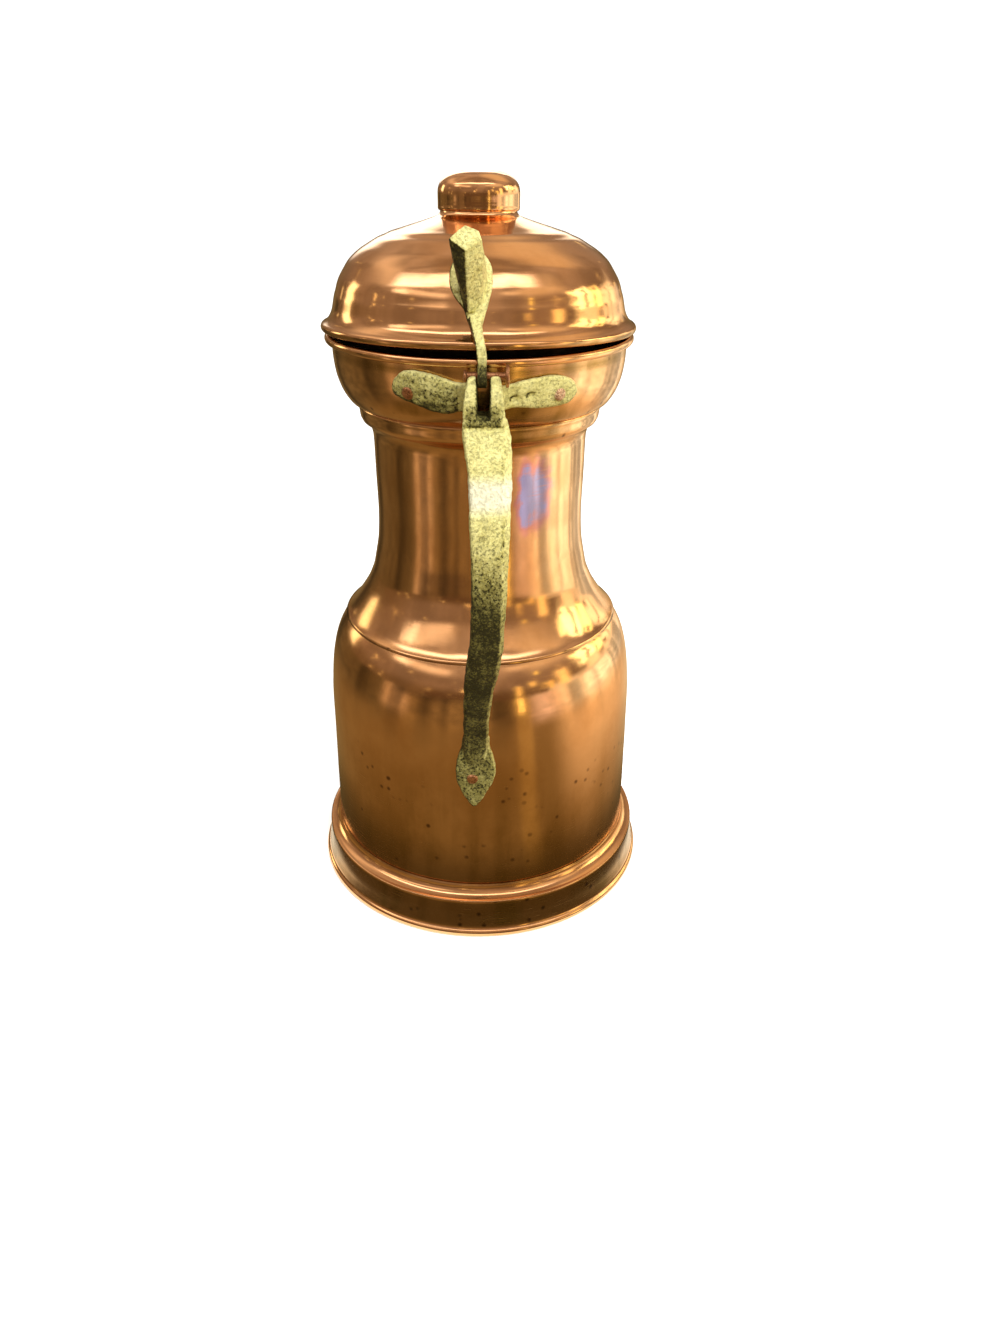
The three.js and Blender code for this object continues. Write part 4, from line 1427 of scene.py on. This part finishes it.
@dataclass(frozen=True)
class FloorFinish(Finish):
    """A plain pale floor to the camera, which glows as a warm table with bright patches to rays from the jug, standing
    in for the surroundings that the copper mirrors and the light on the castings.
    """

    name: str = "pale_floor"
    lobes: Sequence[Lobe] = (
        Lobe(-112, 62, 30, 0.22, 0.45, (0.12, 0.085, 0.034)),
        Lobe(-62, 14, 4, 0.35, 0.55, (0.50, 0.35, 0.19)),
        Lobe(-38, 34, 10, 0.8, 2.5, (0.12, 0.08, 0.035)),
        Lobe(66, 36, 22, 0.33, 0.50, (0.66, 0.50, 0.38)),
        Lobe(29, 7, 1, 0.10, 0.16, (0.62, 0.42, 0.13), 0.5),
        Lobe(28, 3.2, 1.4, 0.50, 0.8, (2.1, 1.60, 0.50)),
        Lobe(66, 6, 3, 1, 1.6, (1.6, 1.35, 0.55)),
        Lobe(104, 60, 30, 0.08, 0.26, (0.95, 0.69, 0.37)),
        Lobe(104, 50, 28, 0.30, 0.60, (1.20, 1.15, 0.88)),
    )

    def look(self, hand: Nodes, coords: Wire) -> dict[str, Value]:
        """Gives the plain floor."""
        return {"Base Color": (0.97, 0.97, 0.965), "Roughness": 0.9, "Specular IOR Level": 0.0}

    def make(self) -> Material:
        """Builds the material, whose glowing table only rays from the jug see.

        Returns:
            The material.
        """
        material = super().make()
        hand, nodes = Nodes(material.node_tree), material.node_tree.nodes
        coords = hand.node("TexCoord", {}, "Object")
        distance = hand.node("VectorMath", {0: coords}, "Value", operation="LENGTH")
        bearing = hand.node("VectorMath", {0: coords}, operation="NORMALIZE")
        # A bright glowing ring right at the jug's foot makes a painted highlight on the bead; further out the table
        # glows dark and warm.
        table = hand.mix(hand.ramp(distance, 0.0875, 0.0915), (1.35, 1.25, 0.98), (0.10, 0.066, 0.022))
        table = hand.mix(hand.ramp(distance, 0.098, 0.150), table, (0.27, 0.175, 0.060))
        table = hand.mix(hand.ramp(distance, 0.15, 0.60), table, (0.21, 0.14, 0.055))
        for lobe in self.lobes:
            table = hand.mix(lobe.share(hand, bearing, distance), table, lobe.colour)
        streaks = hand.ramp(hand.noise(bearing, (3.4, 3.4, 3.4), 4.0, 0.55), 0.40, 0.60) * 0.95 + 0.50
        blots = hand.ramp(hand.noise(coords, (9.0, 9.0, 9.0), 3.0, 0.6), 0.40, 0.60) * 0.5 + 0.75
        strength = streaks * blots * hand.ramp(distance, 0.18, 0.62) + hand.ramp(distance, 0.62, 0.18)
        glow = hand.node("Emission", {"Color": table, "Strength": strength})
        plain = Wire(hand, nodes["Principled BSDF"].outputs["BSDF"])
        choice = hand.node("MixShader", {0: hand.node("LightPath", {}, "Is Camera Ray"), 1: glow, 2: plain})
        hand.feed(nodes["Material Output"].inputs["Surface"], choice)
        return material


@dataclass(frozen=True)
class Opening:
    """A soft patch of the surroundings; angles in degrees, round from the camera and up."""

    middle: Pair
    half: Pair
    soft: float
    colour: Triple
    behind: bool = False
    sloping: bool = False
    broken: bool = False

    def share(self, hand: Nodes, azimuth: Wire, height: Wire) -> Wire:
        """Lays out the patch.

        Args:
            hand: The world's nodes.
            azimuth: Angle round.
            height: Angle up.

        Returns:
            How much the patch covers, from 0 to 1.
        """
        sides = []
        for source, centre, reach in zip((azimuth, height), self.middle, self.half):
            away = hand.maths("ABSOLUTE", source - math.radians(centre))
            inner, outer = max(reach - self.soft, 0.0), reach + self.soft
            sides.append(hand.ramp(away, math.radians(outer), math.radians(inner)))
        return sides[0] * sides[1]


OPENINGS = (
    Opening((-12, 60), (78, 0.8), 7.5, (3.1, 2.8, 2.4), sloping=True),
    Opening((-8, 2), (34, 4), 4, (0.13, 0.075, 0.035)),
    Opening((100, 1), (48, 4), 4, (1.05, 0.92, 0.66)),
    Opening((-52, 35), (26, 3), 6, (1.25, 1, 0.72)),
    Opening((-72, 33), (8, 3), 5, (2.1, 1.85, 1.45), broken=True),
    Opening((42, 42), (20, 2), 6, (1, 0.78, 0.52)),
    Opening((62, 40), (22, 7), 9, (0.88, 0.68, 0.42)),
    Opening((145, 54), (30, 13), 9, (0.82, 0.60, 0.34)),
    Opening((-118, 42), (24, 6), 8, (0.88, 0.68, 0.46)),
    Opening((28, 8), (1.9, 6.5), 1.5, (1.5, 1.08, 0.34)),
    Opening((39, 14), (2.8, 3.6), 2, (1.5, 1.1, 0.38), broken=True),
    Opening((49, 9), (3.6, 3), 2, (1.2, 0.86, 0.30), broken=True),
    Opening((93, 20), (11, 9), 2, (3.4, 3.2, 1.9), broken=True),
    Opening((110, 16), (5.5, 8), 1.8, (3.2, 2.8, 1.2), broken=True),
    Opening((82, 25), (2.6, 5), 1.6, (2.6, 2.3, 1.2), broken=True),
    Opening((126, 9), (12, 7), 4, (2, 1.75, 1.15), broken=True),
    Opening((45, 27), (1.8, 1.8), 1.4, (1.9, 1.5, 0.4)),
    Opening((65, 11), (4.5, 9.5), 2.5, (1.9, 1.45, 0.62)),
    Opening((54, 7), (2, 5), 1.6, (1.5, 1.05, 0.32)),
    Opening((97, 7), (8, 5), 3, (1.7, 1.35, 0.85)),
    Opening((-123, 11), (5.5, 8), 2.5, (2.7, 2.4, 1.5)),
    Opening((-7, 17), (12, 10), 4, (2.6, 2.5, 2.2), behind=True),
    Opening((9, 16), (3, 9), 3, (2.4, 2.2, 1.8), behind=True),
)


@dataclass
class Studio:
    """The pale floor, the soft light all round and the camera."""

    position: Triple = (0.0, -0.4425, 0.3326)
    pitch: float = 27.53
    yaw: float = 1.25
    roll: float = -0.39
    lens: float = 27.007
    lamps: Sequence[tuple[str, float, float, Triple]] = (  # name, size, energy and place
        ("overhead", 1.6, 10.0, (0.1, -0.3, 1.9)), ("key", 0.5, 17.0, (0.40, -0.92, 1.08)),
    )
    lamps_aim: Triple = (0.0, 0.0, 0.2)

    def build(self) -> None:
        """Sets up the camera, the floor, the lamps and the surroundings."""
        self._camera()
        bm = bmesh.new()
        bmesh.ops.create_grid(bm, x_segments=1, y_segments=1, size=30.0)
        floor = new_object("floor", bm)
        floor.data.materials.append(FloorFinish().make())
        self._lights()
        self._surroundings()
        bpy.context.scene.view_settings.view_transform = "Standard"

    def _camera(self) -> None:
        """Places the camera where the photograph was taken from."""
        phi, psi, rho = (math.radians(angle) for angle in (self.pitch, self.yaw, self.roll))
        forward = Vector((math.sin(psi) * math.cos(phi), math.cos(psi) * math.cos(phi), -math.sin(phi)))
        level = Vector((math.cos(psi), -math.sin(psi), 0.0))
        sunk = forward.cross(level)
        right = math.cos(rho) * level + math.sin(rho) * sunk
        down = -math.sin(rho) * level + math.cos(rho) * sunk
        data = bpy.data.cameras.new("camera")
        data.lens = self.lens
        data.sensor_width = 36.0
        data.clip_start = 0.01
        camera = bpy.data.objects.new("camera", data)
        axes = Matrix((right, -down, -forward)).transposed().to_4x4()
        camera.matrix_world = Matrix.Translation(self.position) @ axes
        bpy.context.scene.collection.objects.link(camera)
        bpy.context.scene.camera = camera

    def _lights(self) -> None:
        """Hangs a large soft lamp over the jug and a smaller one at the upper right for the castings."""
        for name, size, energy, place in self.lamps:
            data = bpy.data.lights.new(name, "AREA")
            data.shape = "DISK"
            data.size = size
            data.energy = energy
            lamp = bpy.data.objects.new(name, data)
            lamp.location = place
            lamp.rotation_euler = (Vector(place) - Vector(self.lamps_aim)).to_track_quat("Z", "Y").to_euler()
            lamp.visible_glossy = False
            bpy.context.scene.collection.objects.link(lamp)

    def _surroundings(self) -> None:
        """Makes a white backdrop that the copper mirrors as a warm room with soft windows."""
        world = bpy.data.worlds.new("studio")
        bpy.context.scene.world = world
        world.use_nodes = True
        hand = Nodes(world.node_tree)
        direction = hand.node("TexCoord", {}, "Generated")
        split = hand.add("SeparateXYZ")
        hand.feed(split.inputs["Vector"], direction)
        across, along, rise = (Wire(hand, output) for output in split.outputs)
        azimuth = hand.maths("ARCTAN2", across, along * -1.0)
        behind = hand.maths("ARCTAN2", across, along)
        height = hand.maths("ARCSINE", rise)
        beyond = hand.maths("MAXIMUM", hand.maths("ABSOLUTE", azimuth) - 0.70, 0.0)
        sloped = height + beyond * 0.38

        room = hand.mix(hand.ramp(rise, 0.05, 0.30), (0.22, 0.145, 0.07), (0.36, 0.255, 0.165))
        room = hand.mix(hand.ramp(rise, 0.35, 0.70), room, (0.55, 0.41, 0.28))
        room = hand.mix(hand.ramp(rise, 0.88, 0.97), room, (0.44, 0.31, 0.19))
        bands = hand.ramp(hand.noise(direction, (3.6, 3.6, 1.3), 3.0, 0.55), 0.36, 0.66)
        room = hand.mix(bands * 0.40 + 0.60, (0.08, 0.05, 0.025), room)
        spots = hand.ramp(hand.noise(direction, (9.0, 9.0, 7.0), 2.0), 0.64, 0.72)
        room = hand.mix(spots * hand.ramp(rise, 0.55, 0.25), room, (1.45, 1.10, 0.50))
        frames = hand.ramp(hand.noise(direction, (13.0, 13.0, 9.0), 2.0), 0.38, 0.47)
        for opening in OPENINGS:
            share = opening.share(hand, behind if opening.behind else azimuth, sloped if opening.sloping else height)
            room = hand.mix(share * frames if opening.broken else share, room, opening.colour)
        seen = hand.mix(hand.ramp(rise, -0.25, 0.95), (0.30, 0.27, 0.21), (1.55, 1.52, 1.46))
        seen = hand.mix(hand.node("LightPath", {}, "Is Camera Ray"), seen, (1.08, 1.08, 1.08))
        seen = hand.mix(hand.node("LightPath", {}, "Is Glossy Ray"), seen, room)
        hand.feed(world.node_tree.nodes["Background"].inputs["Color"], seen)


def main() -> None:
    """Builds the jug, its lid, its castings and the stage."""
    logging.basicConfig(level=logging.INFO, format="%(name)s: %(message)s")
    finishes = Finishes()
    jug, lid = Jug(finishes), Lid(finishes)
    for part in (jug, lid, Handle(finishes, jug), HingeArm(finishes, lid), Fasteners(finishes), Studio()):
        part.build()


if __name__ == "__main__":
    main()
